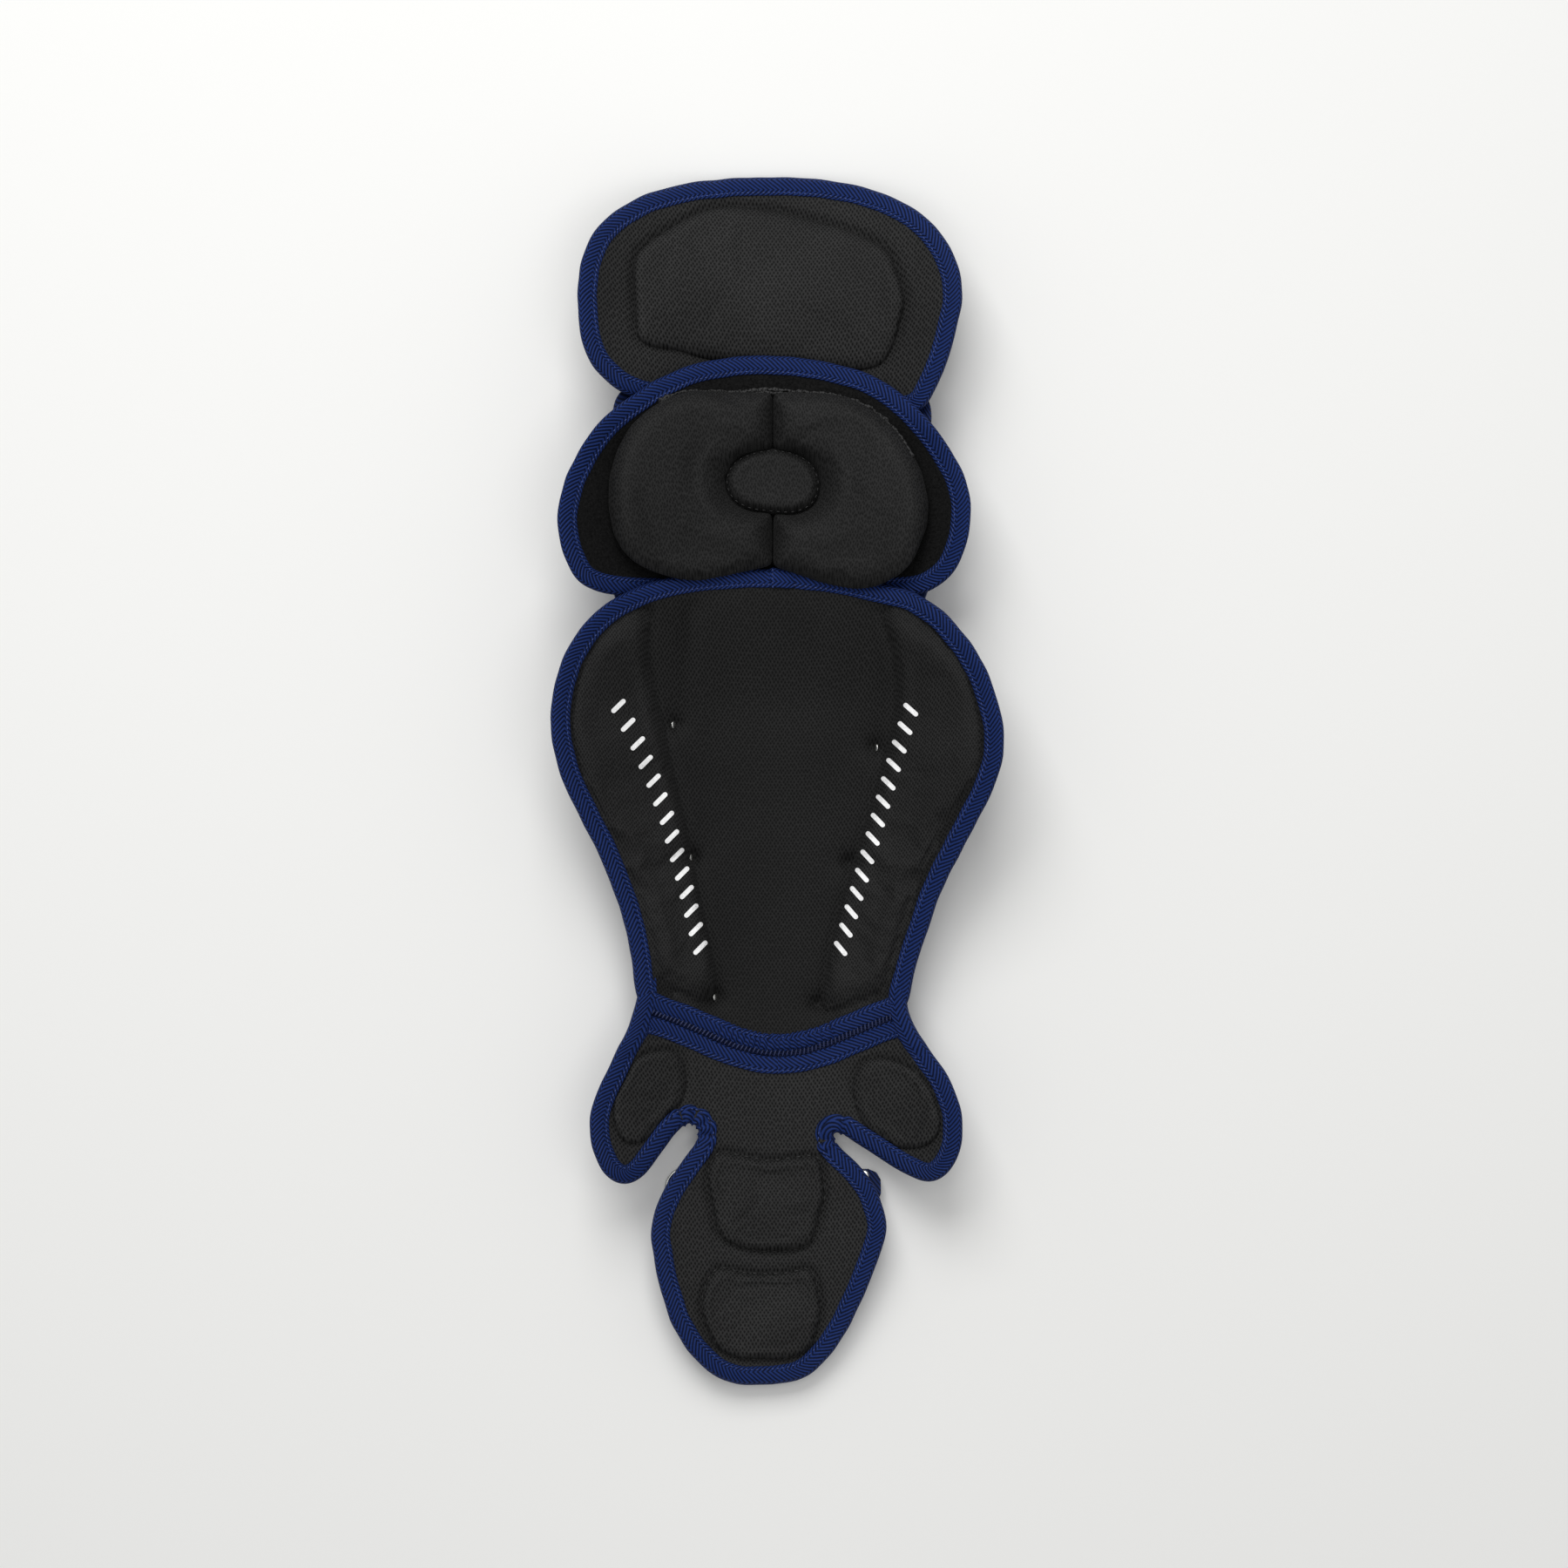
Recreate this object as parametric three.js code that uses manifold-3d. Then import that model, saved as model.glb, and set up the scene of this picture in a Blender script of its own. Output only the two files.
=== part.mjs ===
// A left-leg catcher's guard lying on its hard front, with the padded side that faces the leg turned up.
// Soft panels with taped edges overlap down the leg: thigh pad, knee panel, shin liner and an ankle flap
// with two wings and an instep tongue. Three moulded shells carry them on the front.
// Millimetres. +X is to the right and +Y towards the thigh as seen from the leg side, +Z away from the floor.
import * as THREE from "three";
import Module from "manifold-3d";

const wasm = await Module();
wasm.setup();

// Panel lengths down the leg, the overlaps between them, and their widths.
const thighLength = 140;
const thighWidth = 220;
const kneeLength = 140;
const kneeWidth = 236;
const kneeOverThigh = 36;
const shinLength = 280;
const shinWidth = 258.5;
const shinOverKnee = 18;
const flapLength = 218;
const flapWidth = 214;
const thighOffset = -4.25; // the panels' middles lie a little to the left of the shin's
const kneeOffset = -7.25;
const flapOffset = -0.75;

// Thickness of the soft parts.
const thighPadThickness = 8;
const kneePanelThickness = 5;
const shinLinerThickness = 8;
const flapThickness = 7;
const bridgeThickness = 3;
const thighCushionHeight = 6;
const thighCushionCrown = 3;
const kneePadHeight = 12;
const kneePadCrown = 4;
const kneePadSeam = 0.038; // share of the half width at which the two lobes meet
const kneePadSeamGap = 1;
const kneeCentreDrop = 5; // the middle oval lies this much lower than the lobes round it
const sidePadHeight = 6;
const wingPadHeight = 4;
const instepPadHeight = 4.5;
const smallPadCrown = 1.5;

// Edge tape: folded over each panel's edge.
const tapeWidth = 11;
const tapeThickness = 1.1;
const tapeGap = 0.4;
const seamGap = 0.8; // between the two tapes that are laced together above the ankle
const seamEndGap = 3; // at the seam's two ends, where both panels turn a corner

// Moulded shells on the front.
const shellWall = 3;
const bossHeight = 3;
const shinShellCover = 0.76; // share of the liner's width that the hard shell covers
const kneeShellCover = 0.8;
const kneeShellOverShin = 19;

// Fasteners.
const rivetHeadRadius = 3.5;
const rivetHeadThickness = 1.3;
const rivetShankRadius = 1.8;
const rivetClearance = 0.3;
const kneeRivetReach = 56; // from the middle of the guard
const kneeRivetSetback = 10; // from the knee shell's lower end
const strapWidth = 21;
const strapThickness = 1.5;
const strapLength = 102;
const strapOffset = 9; // the foot strap's middle lies this much to the right of the guard's
const strapDrop = 0.2; // slope at which the strap's ends hang away from the trough
const ringRadius = 10.6; // to the middle of the wire
const ringWire = 1.2; // radius of the wire
const strapLoopWidth = 10; // tab of the strap that is folded round the ring

// The trough that the whole guard is bent to, and the spacing of the lines it is faceted along.
const troughDepth = 38; // rise of the wall at troughReach from the middle of the shin
const troughReach = 100;
const troughFlat = 15; // flat strip down the middle
const lineSpacingX = 20;
const lineSpacingY = 18; // only swelling pads are faceted in this direction
const touch = 0.35; // clearance between pieces that lie on each other
const edgeStep = 0.7; // how far an outline's straight facets may leave its curve

// Distances from the guard's top edge, down the leg.
const kneeTop = thighLength - kneeOverThigh;
const kneeBottom = kneeTop + kneeLength;
const shinTop = kneeBottom - shinOverKnee;
const seamCorner = 0.905; // share of the shin liner at which the laced seam leaves its sides
const flapTop = shinTop + seamCorner * shinLength;
const overallLength = flapTop + flapLength;

// Outlines of the panels and pads: across is a share of the half width, down of the length.
const thighOutline = [
  { across: -0.018, down: 0.0 },
  { across: 0.345, down: 0.018 },
  { across: 0.627, down: 0.086 },
  { across: 0.827, down: 0.189 },
  { across: 0.964, down: 0.354 },
  { across: 1.0, down: 0.511 },
  { across: 0.955, down: 0.704 },
  { across: 0.882, down: 0.861 },
  { across: 0.8, down: 0.975 },
  { across: 0.664, down: 1.0 },
  { across: 0.345, down: 0.975 },
  { across: -0.018, down: 0.946 },
  { across: -0.427, down: 0.943 },
  { across: -0.664, down: 0.936 },
  { across: -0.809, down: 0.889 },
  { across: -0.936, down: 0.789 },
  { across: -0.986, down: 0.661 },
  { across: -1.0, down: 0.511 },
  { across: -0.977, down: 0.361 },
  { across: -0.891, down: 0.218 },
  { across: -0.677, down: 0.093 },
  { across: -0.382, down: 0.021 },
];
const thighCushionOutline = [
  { across: -0.009, down: 0.136 },
  { across: 0.2, down: 0.175 },
  { across: 0.459, down: 0.239 },
  { across: 0.627, down: 0.329 },
  { across: 0.668, down: 0.425 },
  { across: 0.705, down: 0.521 },
  { across: 0.664, down: 0.646 },
  { across: 0.623, down: 0.761 },
  { across: 0.564, down: 0.804 },
  { across: 0.345, down: 0.804 },
  { across: -0.018, down: 0.786 },
  { across: -0.314, down: 0.771 },
  { across: -0.482, down: 0.732 },
  { across: -0.645, down: 0.714 },
  { across: -0.695, down: 0.675 },
  { across: -0.705, down: 0.539 },
  { across: -0.714, down: 0.389 },
  { across: -0.695, down: 0.329 },
  { across: -0.541, down: 0.229 },
  { across: -0.345, down: 0.143 },
  { across: -0.2, down: 0.125 },
];
const kneeOutline = [
  { across: 0.0, down: 0.0 },
  { across: 0.242, down: 0.018 },
  { across: 0.483, down: 0.071 },
  { across: 0.644, down: 0.15 },
  { across: 0.788, down: 0.268 },
  { across: 0.898, down: 0.393 },
  { across: 0.975, down: 0.521 },
  { across: 1.0, down: 0.661 },
  { across: 0.975, down: 0.796 },
  { across: 0.911, down: 0.907 },
  { across: 0.797, down: 0.979 },
  { across: 0.644, down: 0.993 },
  { across: 0.008, down: 1.0 },
  { across: -0.606, down: 0.996 },
  { across: -0.754, down: 0.989 },
  { across: -0.89, down: 0.95 },
  { across: -0.966, down: 0.843 },
  { across: -1.0, down: 0.689 },
  { across: -0.975, down: 0.546 },
  { across: -0.89, down: 0.393 },
  { across: -0.763, down: 0.254 },
  { across: -0.619, down: 0.157 },
  { across: -0.407, down: 0.054 },
  { across: -0.203, down: 0.011 },
];
const kneePadOutline = [
  { across: 0.038, down: 0.153 },
  { across: 0.212, down: 0.157 },
  { across: 0.398, down: 0.182 },
  { across: 0.559, down: 0.261 },
  { across: 0.686, down: 0.375 },
  { across: 0.763, down: 0.511 },
  { across: 0.788, down: 0.646 },
  { across: 0.758, down: 0.768 },
  { across: 0.686, down: 0.875 },
  { across: 0.568, down: 0.943 },
  { across: 0.453, down: 0.961 },
  { across: 0.284, down: 0.936 },
  { across: 0.114, down: 0.886 },
  { across: 0.038, down: 0.864 },
  { across: -0.025, down: 0.875 },
  { across: -0.169, down: 0.904 },
  { across: -0.352, down: 0.925 },
  { across: -0.521, down: 0.896 },
  { across: -0.644, down: 0.843 },
  { across: -0.72, down: 0.75 },
  { across: -0.75, down: 0.6 },
  { across: -0.733, down: 0.468 },
  { across: -0.653, down: 0.314 },
  { across: -0.53, down: 0.218 },
  { across: -0.373, down: 0.157 },
  { across: -0.195, down: 0.154 },
];
const kneeCentreOutline = [
  { across: 0.034, down: 0.389 },
  { across: 0.144, down: 0.404 },
  { across: 0.233, down: 0.45 },
  { across: 0.267, down: 0.529 },
  { across: 0.237, down: 0.611 },
  { across: 0.153, down: 0.646 },
  { across: 0.034, down: 0.643 },
  { across: -0.085, down: 0.629 },
  { across: -0.169, down: 0.582 },
  { across: -0.191, down: 0.514 },
  { across: -0.153, down: 0.443 },
  { across: -0.068, down: 0.404 },
];
// The seam above the ankle, left to right, in shares of the shin liner. Both tapes follow it.
const ankleSeam = [
  { across: -0.612, down: 0.903 },
  { across: -0.551, down: 0.913 },
  { across: -0.443, down: 0.932 },
  { across: -0.296, down: 0.963 },
  { across: -0.164, down: 0.988 },
  { across: -0.021, down: 1.0 },
  { across: 0.11, down: 0.995 },
  { across: 0.25, down: 0.975 },
  { across: 0.478, down: 0.927 },
  { across: 0.566, down: 0.91 },
];
const shinSidesOutline = [
  { across: -0.632, down: 0.845 },
  { across: -0.675, down: 0.734 },
  { across: -0.756, down: 0.623 },
  { across: -0.865, down: 0.516 },
  { across: -0.961, down: 0.423 },
  { across: -1.0, down: 0.323 },
  { across: -0.985, down: 0.252 },
  { across: -0.919, down: 0.163 },
  { across: -0.822, down: 0.102 },
  { across: -0.66, down: 0.05 },
  { across: -0.474, down: 0.02 },
  { across: -0.242, down: 0.005 },
  { across: -0.029, down: 0.0 },
  { across: 0.203, down: 0.009 },
  { across: 0.416, down: 0.029 },
  { across: 0.617, down: 0.054 },
  { across: 0.791, down: 0.12 },
  { across: 0.903, down: 0.195 },
  { across: 0.977, down: 0.287 },
  { across: 1.0, down: 0.37 },
  { across: 0.961, down: 0.445 },
  { across: 0.845, down: 0.552 },
  { across: 0.733, down: 0.655 },
  { across: 0.648, down: 0.766 },
  { across: 0.596, down: 0.846 },
];
const sidePadLeftOutline = [
  { across: -0.567, down: 0.087 },
  { across: -0.567, down: 0.177 },
  { across: -0.536, down: 0.266 },
  { across: -0.493, down: 0.355 },
  { across: -0.439, down: 0.454 },
  { across: -0.389, down: 0.573 },
  { across: -0.335, down: 0.695 },
  { across: -0.292, down: 0.773 },
  { across: -0.269, down: 0.838 },
  { across: -0.273, down: 0.885 },
  { across: -0.3, down: 0.9 },
  { across: -0.397, down: 0.884 },
  { across: -0.495, down: 0.864 },
  { across: -0.53, down: 0.838 },
  { across: -0.572, down: 0.752 },
  { across: -0.652, down: 0.641 },
  { across: -0.748, down: 0.537 },
  { across: -0.855, down: 0.427 },
  { across: -0.898, down: 0.334 },
  { across: -0.884, down: 0.259 },
  { across: -0.828, down: 0.175 },
  { across: -0.75, down: 0.125 },
  { across: -0.66, down: 0.1 },
];
const sidePadRightOutline = [
  { across: 0.466, down: 0.088 },
  { across: 0.501, down: 0.168 },
  { across: 0.52, down: 0.248 },
  { across: 0.501, down: 0.334 },
  { across: 0.447, down: 0.423 },
  { across: 0.385, down: 0.525 },
  { across: 0.331, down: 0.605 },
  { across: 0.28, down: 0.686 },
  { across: 0.234, down: 0.773 },
  { across: 0.207, down: 0.845 },
  { across: 0.197, down: 0.912 },
  { across: 0.236, down: 0.916 },
  { across: 0.358, down: 0.892 },
  { across: 0.468, down: 0.868 },
  { across: 0.5, down: 0.829 },
  { across: 0.549, down: 0.745 },
  { across: 0.63, down: 0.632 },
  { across: 0.746, down: 0.52 },
  { across: 0.856, down: 0.436 },
  { across: 0.895, down: 0.37 },
  { across: 0.876, down: 0.295 },
  { across: 0.804, down: 0.203 },
  { across: 0.694, down: 0.142 },
  { across: 0.582, down: 0.1 },
];
// Wings and tongue of the ankle flap, from the seam's right end round to its left end.
const flapBodyOutline = [
  { across: 0.76, down: 0.064 },
  { across: 0.883, down: 0.147 },
  { across: 0.972, down: 0.225 },
  { across: 1.0, down: 0.307 },
  { across: 0.972, down: 0.39 },
  { across: 0.916, down: 0.436 },
  { across: 0.818, down: 0.459 },
  { across: 0.696, down: 0.438 },
  { across: 0.533, down: 0.388 },
  { across: 0.416, down: 0.353 },
  { across: 0.336, down: 0.33 },
  { across: 0.299, down: 0.334 },
  { across: 0.318, down: 0.356 },
  { across: 0.439, down: 0.411 },
  { across: 0.523, down: 0.459 },
  { across: 0.584, down: 0.528 },
  { across: 0.598, down: 0.583 },
  { across: 0.556, down: 0.656 },
  { across: 0.463, down: 0.771 },
  { across: 0.369, down: 0.867 },
  { across: 0.266, down: 0.936 },
  { across: 0.145, down: 0.984 },
  { across: -0.051, down: 1.0 },
  { across: -0.248, down: 0.995 },
  { across: -0.369, down: 0.963 },
  { across: -0.491, down: 0.899 },
  { across: -0.584, down: 0.807 },
  { across: -0.645, down: 0.697 },
  { across: -0.678, down: 0.601 },
  { across: -0.64, down: 0.511 },
  { across: -0.565, down: 0.445 },
  { across: -0.472, down: 0.383 },
  { across: -0.421, down: 0.343 },
  { across: -0.43, down: 0.31 },
  { across: -0.477, down: 0.303 },
  { across: -0.542, down: 0.33 },
  { across: -0.65, down: 0.406 },
  { across: -0.734, down: 0.454 },
  { across: -0.818, down: 0.466 },
  { across: -0.902, down: 0.445 },
  { across: -0.967, down: 0.39 },
  { across: -1.0, down: 0.305 },
  { across: -0.972, down: 0.227 },
  { across: -0.879, down: 0.133 },
  { across: -0.799, down: 0.055 },
];
const wingPadLeftOutline = [
  { across: -0.598, down: 0.108 },
  { across: -0.523, down: 0.118 },
  { across: -0.481, down: 0.174 },
  { across: -0.505, down: 0.243 },
  { across: -0.593, down: 0.305 },
  { across: -0.701, down: 0.346 },
  { across: -0.799, down: 0.353 },
  { across: -0.855, down: 0.312 },
  { across: -0.869, down: 0.257 },
  { across: -0.841, down: 0.188 },
  { across: -0.75, down: 0.131 },
];
const wingPadRightOutline = [
  { across: 0.547, down: 0.131 },
  { across: 0.678, down: 0.147 },
  { across: 0.79, down: 0.188 },
  { across: 0.855, down: 0.248 },
  { across: 0.879, down: 0.305 },
  { across: 0.827, down: 0.351 },
  { across: 0.724, down: 0.367 },
  { across: 0.603, down: 0.358 },
  { across: 0.491, down: 0.317 },
  { across: 0.425, down: 0.257 },
  { across: 0.407, down: 0.202 },
  { across: 0.453, down: 0.147 },
];
const instepPadUpperOutline = [
  { across: -0.313, down: 0.378 },
  { across: -0.182, down: 0.388 },
  { across: -0.042, down: 0.404 },
  { across: 0.089, down: 0.397 },
  { across: 0.22, down: 0.39 },
  { across: 0.257, down: 0.44 },
  { across: 0.262, down: 0.505 },
  { across: 0.22, down: 0.583 },
  { across: 0.182, down: 0.626 },
  { across: -0.023, down: 0.647 },
  { across: -0.238, down: 0.628 },
  { across: -0.318, down: 0.596 },
  { across: -0.36, down: 0.505 },
  { across: -0.374, down: 0.429 },
];
const instepPadLowerOutline = [
  { across: -0.322, down: 0.686 },
  { across: -0.182, down: 0.7 },
  { across: -0.051, down: 0.704 },
  { across: 0.07, down: 0.7 },
  { across: 0.178, down: 0.686 },
  { across: 0.238, down: 0.761 },
  { across: 0.243, down: 0.821 },
  { across: 0.187, down: 0.898 },
  { across: 0.098, down: 0.925 },
  { across: -0.051, down: 0.934 },
  { across: -0.238, down: 0.923 },
  { across: -0.34, down: 0.89 },
  { across: -0.392, down: 0.828 },
  { across: -0.406, down: 0.766 },
];
// The hard shell in front of the flap, in shares of the flap.
const footShellOutline = [
  { across: -0.68, down: 0.135 },
  { across: -0.4, down: 0.165 },
  { across: -0.02, down: 0.215 },
  { across: 0.36, down: 0.175 },
  { across: 0.64, down: 0.14 },
  { across: 0.79, down: 0.2 },
  { across: 0.85, down: 0.29 },
  { across: 0.81, down: 0.365 },
  { across: 0.7, down: 0.365 },
  { across: 0.54, down: 0.32 },
  { across: 0.36, down: 0.27 },
  { across: 0.2, down: 0.252 },
  { across: 0.14, down: 0.335 },
  { across: 0.24, down: 0.43 },
  { across: 0.37, down: 0.5 },
  { across: 0.44, down: 0.58 },
  { across: 0.41, down: 0.65 },
  { across: 0.32, down: 0.76 },
  { across: 0.24, down: 0.85 },
  { across: 0.12, down: 0.91 },
  { across: -0.05, down: 0.925 },
  { across: -0.22, down: 0.915 },
  { across: -0.35, down: 0.865 },
  { across: -0.45, down: 0.78 },
  { across: -0.51, down: 0.69 },
  { across: -0.535, down: 0.6 },
  { across: -0.49, down: 0.53 },
  { across: -0.39, down: 0.45 },
  { across: -0.3, down: 0.38 },
  { across: -0.27, down: 0.31 },
  { across: -0.36, down: 0.24 },
  { across: -0.535, down: 0.24 },
  { across: -0.67, down: 0.3 },
  { across: -0.76, down: 0.36 },
  { across: -0.83, down: 0.375 },
  { across: -0.865, down: 0.3 },
  { across: -0.83, down: 0.205 },
];
// Rivets that hold the shin liner to its shell, beside the side pads, in shares of the shin liner.
const linerRivets = [
  { name: "left_1", across: -0.437, down: 0.323 },
  { name: "left_2", across: -0.364, down: 0.596 },
  { name: "left_3", across: -0.262, down: 0.884 },
  { name: "right_1", across: 0.413, down: 0.37 },
  { name: "right_2", across: 0.302, down: 0.605 },
  { name: "right_3", across: 0.17, down: 0.896 },
];

// Heights of the layers over the trough, worked out from the floor up.
const shellInside = bossHeight + shellWall;
const lipHeight = tapeThickness + tapeGap; // how far a tape stands out from its panel's face
const onShell = shellInside + touch;
const tuckedShellTop = onShell + shellWall;
const bridgeTop = onShell + bridgeThickness;
const thighOnBridge = bridgeTop + touch + lipHeight;
const kneeOnThigh = thighOnBridge + thighPadThickness + 2 * lipHeight + touch;
const kneeOnShell = Math.max(tuckedShellTop, bridgeTop) + touch + lipHeight;
const shinOnKnee = kneeOnShell + kneePanelThickness + 2 * lipHeight + touch;
const padOnShin = shinOnKnee + shinLinerThickness + lipHeight + touch;

// Rows of distance from the guard's top and height, joined by straight lines.
const tuckEnd = kneeBottom + kneeShellOverShin;
const layers = {
  thigh: [
    { from: 0, height: lipHeight + 1 },
    { from: kneeTop, height: thighOnBridge },
    { from: overallLength, height: thighOnBridge },
  ],
  bridge: [{ from: 0, height: onShell }],
  knee: [
    { from: 0, height: kneeOnThigh },
    { from: thighLength + 2, height: kneeOnThigh },
    { from: thighLength + 24, height: kneeOnShell },
    { from: overallLength, height: kneeOnShell },
  ],
  kneePadUnder: [
    { from: 0, height: kneeOnThigh + kneePanelThickness + touch },
    { from: thighLength + 2, height: kneeOnThigh + kneePanelThickness + touch },
    { from: thighLength + 24, height: kneeOnShell + kneePanelThickness + touch },
    { from: shinTop - 26, height: kneeOnShell + kneePanelThickness + touch },
    { from: shinTop - 3, height: padOnShin },
    { from: overallLength, height: padOnShin },
  ],
  shin: [
    { from: 0, height: shinOnKnee },
    { from: kneeBottom + 3, height: shinOnKnee },
    { from: tuckEnd + 40, height: onShell },
    { from: overallLength, height: onShell },
  ],
  shell: [{ from: 0, height: bossHeight }],
  shinShell: [
    { from: 0, height: onShell },
    { from: tuckEnd + 2, height: onShell },
    { from: tuckEnd + 40, height: bossHeight },
    { from: overallLength, height: bossHeight },
  ],
  cushionEnd: [{ from: kneeTop - 20 }, { from: kneeTop - 4 }],
  floor: [{ from: 0, height: 0 }],
};
const kneePadTop = Math.max(kneeOnThigh + kneePanelThickness, padOnShin) + kneePadHeight;
layers.kneePadTop = [{ from: 0, height: kneePadTop }];

function alongRows(rows, key, value, at) {
  if (at <= rows[0][key]) return rows[0][value];
  for (let i = 1; i < rows.length; i++) {
    if (at <= rows[i][key]) {
      const share = (at - rows[i - 1][key]) / (rows[i][key] - rows[i - 1][key]);
      return rows[i - 1][value] + share * (rows[i][value] - rows[i - 1][value]);
    }
  }
  return rows[rows.length - 1][value];
}
const fromTop = (y) => overallLength / 2 - y;
const heightOf = (rows) => (x, y) => alongRows(rows, "from", "height", fromTop(y));
const raised = (height, by) => (x, y) => height(x, y) + by;

// The lines along the guard that the trough is faceted between, and the lines across it at which a layer
// changes its slope.
const halfLines = Math.ceil(Math.max(shinWidth, kneeWidth, thighWidth, flapWidth) / 2 / lineSpacingX) + 1;
const gridX = [];
for (let i = -halfLines; i <= halfLines; i++) {
  if (i !== 0) gridX.push(Math.sign(i) * (troughFlat / 2 + (Math.abs(i) - 1) * lineSpacingX));
}
const past = 20;
const changes = Object.values(layers).flatMap((rows) => rows.map((row) => fromTop(row.from)));
const gridY = [...new Set([...changes, overallLength / 2 + past, -overallLength / 2 - past])];
gridY.sort((a, b) => a - b);

// The trough's height above its floor, flat between those lines.
function troughAt(x) {
  const out = Math.max(0, Math.abs(x) - troughFlat / 2) / (troughReach - troughFlat / 2);
  return troughDepth * out * out;
}
function facetedTrough(x) {
  let i = 0;
  while (i < gridX.length - 2 && gridX[i + 1] < x) i++;
  const share = (x - gridX[i]) / (gridX[i + 1] - gridX[i]);
  return THREE.MathUtils.lerp(troughAt(gridX[i]), troughAt(gridX[i + 1]), share);
}

// Solids
function solidFrom(positions, triangles) {
  const mesh = new wasm.Mesh({
    numProp: 3,
    vertProperties: new Float32Array(positions),
    triVerts: new Uint32Array(triangles),
  });
  return new wasm.Manifold(mesh);
}

// A sheet that fills the grid round an outline, between two heights over the trough.
function drapedSheet(outline, low, high, swelling) {
  const box = new THREE.Box2().setFromPoints(outline).expandByScalar(1);
  const first = (grid, from) => Math.max(0, grid.findIndex((at) => at > from) - 1);
  const last = (grid, to) => grid.findIndex((at) => at >= to);
  const xs = gridX.slice(first(gridX, box.min.x), last(gridX, box.max.x) + 1);
  let ys = gridY.slice(first(gridY, box.min.y), last(gridY, box.max.y) + 1);
  if (swelling) {
    ys = ys.flatMap((y, i) => {
      const parts = i ? Math.ceil((y - ys[i - 1]) / lineSpacingY) : 1;
      return Array.from({ length: parts }, (_, k) => (i ? ys[i - 1] + ((y - ys[i - 1]) * (k + 1)) / parts : y));
    });
  }
  const positions = [];
  for (const face of [low, high]) {
    for (const y of ys) for (const x of xs) positions.push(x, y, troughAt(x) + face(x, y));
  }
  const [nx, ny] = [xs.length, ys.length];
  const index = (i, j, face) => face * nx * ny + j * nx + i;
  const triangles = [];
  const quad = (a, b, c, d) => triangles.push(a, b, c, a, c, d);
  for (let j = 0; j < ny - 1; j++) {
    for (let i = 0; i < nx - 1; i++) {
      quad(index(i, j, 1), index(i + 1, j, 1), index(i + 1, j + 1, 1), index(i, j + 1, 1));
      triangles.push(index(i, j, 0), index(i + 1, j + 1, 0), index(i + 1, j, 0));
      triangles.push(index(i, j, 0), index(i, j + 1, 0), index(i + 1, j + 1, 0));
    }
  }
  for (let i = 0; i < nx - 1; i++) {
    quad(index(i, 0, 0), index(i + 1, 0, 0), index(i + 1, 0, 1), index(i, 0, 1));
    quad(index(i + 1, ny - 1, 0), index(i, ny - 1, 0), index(i, ny - 1, 1), index(i + 1, ny - 1, 1));
  }
  for (let j = 0; j < ny - 1; j++) {
    quad(index(nx - 1, j, 0), index(nx - 1, j + 1, 0), index(nx - 1, j + 1, 1), index(nx - 1, j, 1));
    quad(index(0, j + 1, 0), index(0, j, 0), index(0, j, 1), index(0, j + 1, 1));
  }
  return solidFrom(positions, triangles);
}

// A wall through closed rings of equally many points; a closed wall joins its last ring to its first.
function wallSolid(rings, closed) {
  const count = rings[0].length;
  const positions = rings.flat().flatMap((p) => [p.x, p.y, p.z]);
  const triangles = [];
  const pairs = closed ? rings.length : rings.length - 1;
  for (let k = 0; k < pairs; k++) {
    const [a, b] = [k * count, ((k + 1) % rings.length) * count];
    for (let i = 0; i < count; i++) {
      const n = (i + 1) % count;
      triangles.push(a + i, a + n, b + n, a + i, b + n, b + i);
    }
  }
  if (!closed) {
    const flat = (ring) => ring.map((p) => new THREE.Vector2(p.x, p.y));
    const topStart = (rings.length - 1) * count;
    for (const t of THREE.ShapeUtils.triangulateShape(flat(rings[0]), [])) {
      triangles.push(t[0], t[2], t[1]);
    }
    for (const t of THREE.ShapeUtils.triangulateShape(flat(rings[rings.length - 1]), [])) {
      triangles.push(topStart + t[0], topStart + t[1], topStart + t[2]);
    }
  }
  return solidFrom(positions, triangles);
}

function meshOf(name, solid, material) {
  const made = solid.getMesh();
  const geometry = new THREE.BufferGeometry();
  geometry.setAttribute("position", new THREE.BufferAttribute(made.vertProperties, 3));
  geometry.setIndex(new THREE.BufferAttribute(made.triVerts, 1));
  geometry.computeVertexNormals();
  const mesh = new THREE.Mesh(geometry, material);
  mesh.name = name;
  return mesh;
}

// Outlines
const closedCurveSteps = 720;
// Places an outline's rows in the guard's frame and rounds them into one anticlockwise curve.
function placeOutline(rows, middle, width, top, length) {
  const points = rows.map(
    (row) => new THREE.Vector3(middle + (row.across * width) / 2, overallLength / 2 - top - row.down * length, 0),
  );
  return roundOutline(points);
}
function roundOutline(points) {
  if (THREE.ShapeUtils.isClockWise(points)) points.reverse();
  const curve = new THREE.CatmullRomCurve3(points, true, "centripetal");
  const dense = curve.getPoints(closedCurveSteps).slice(0, -1);
  return thinned(dense.map((p) => new THREE.Vector2(p.x, p.y)));
}
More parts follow.
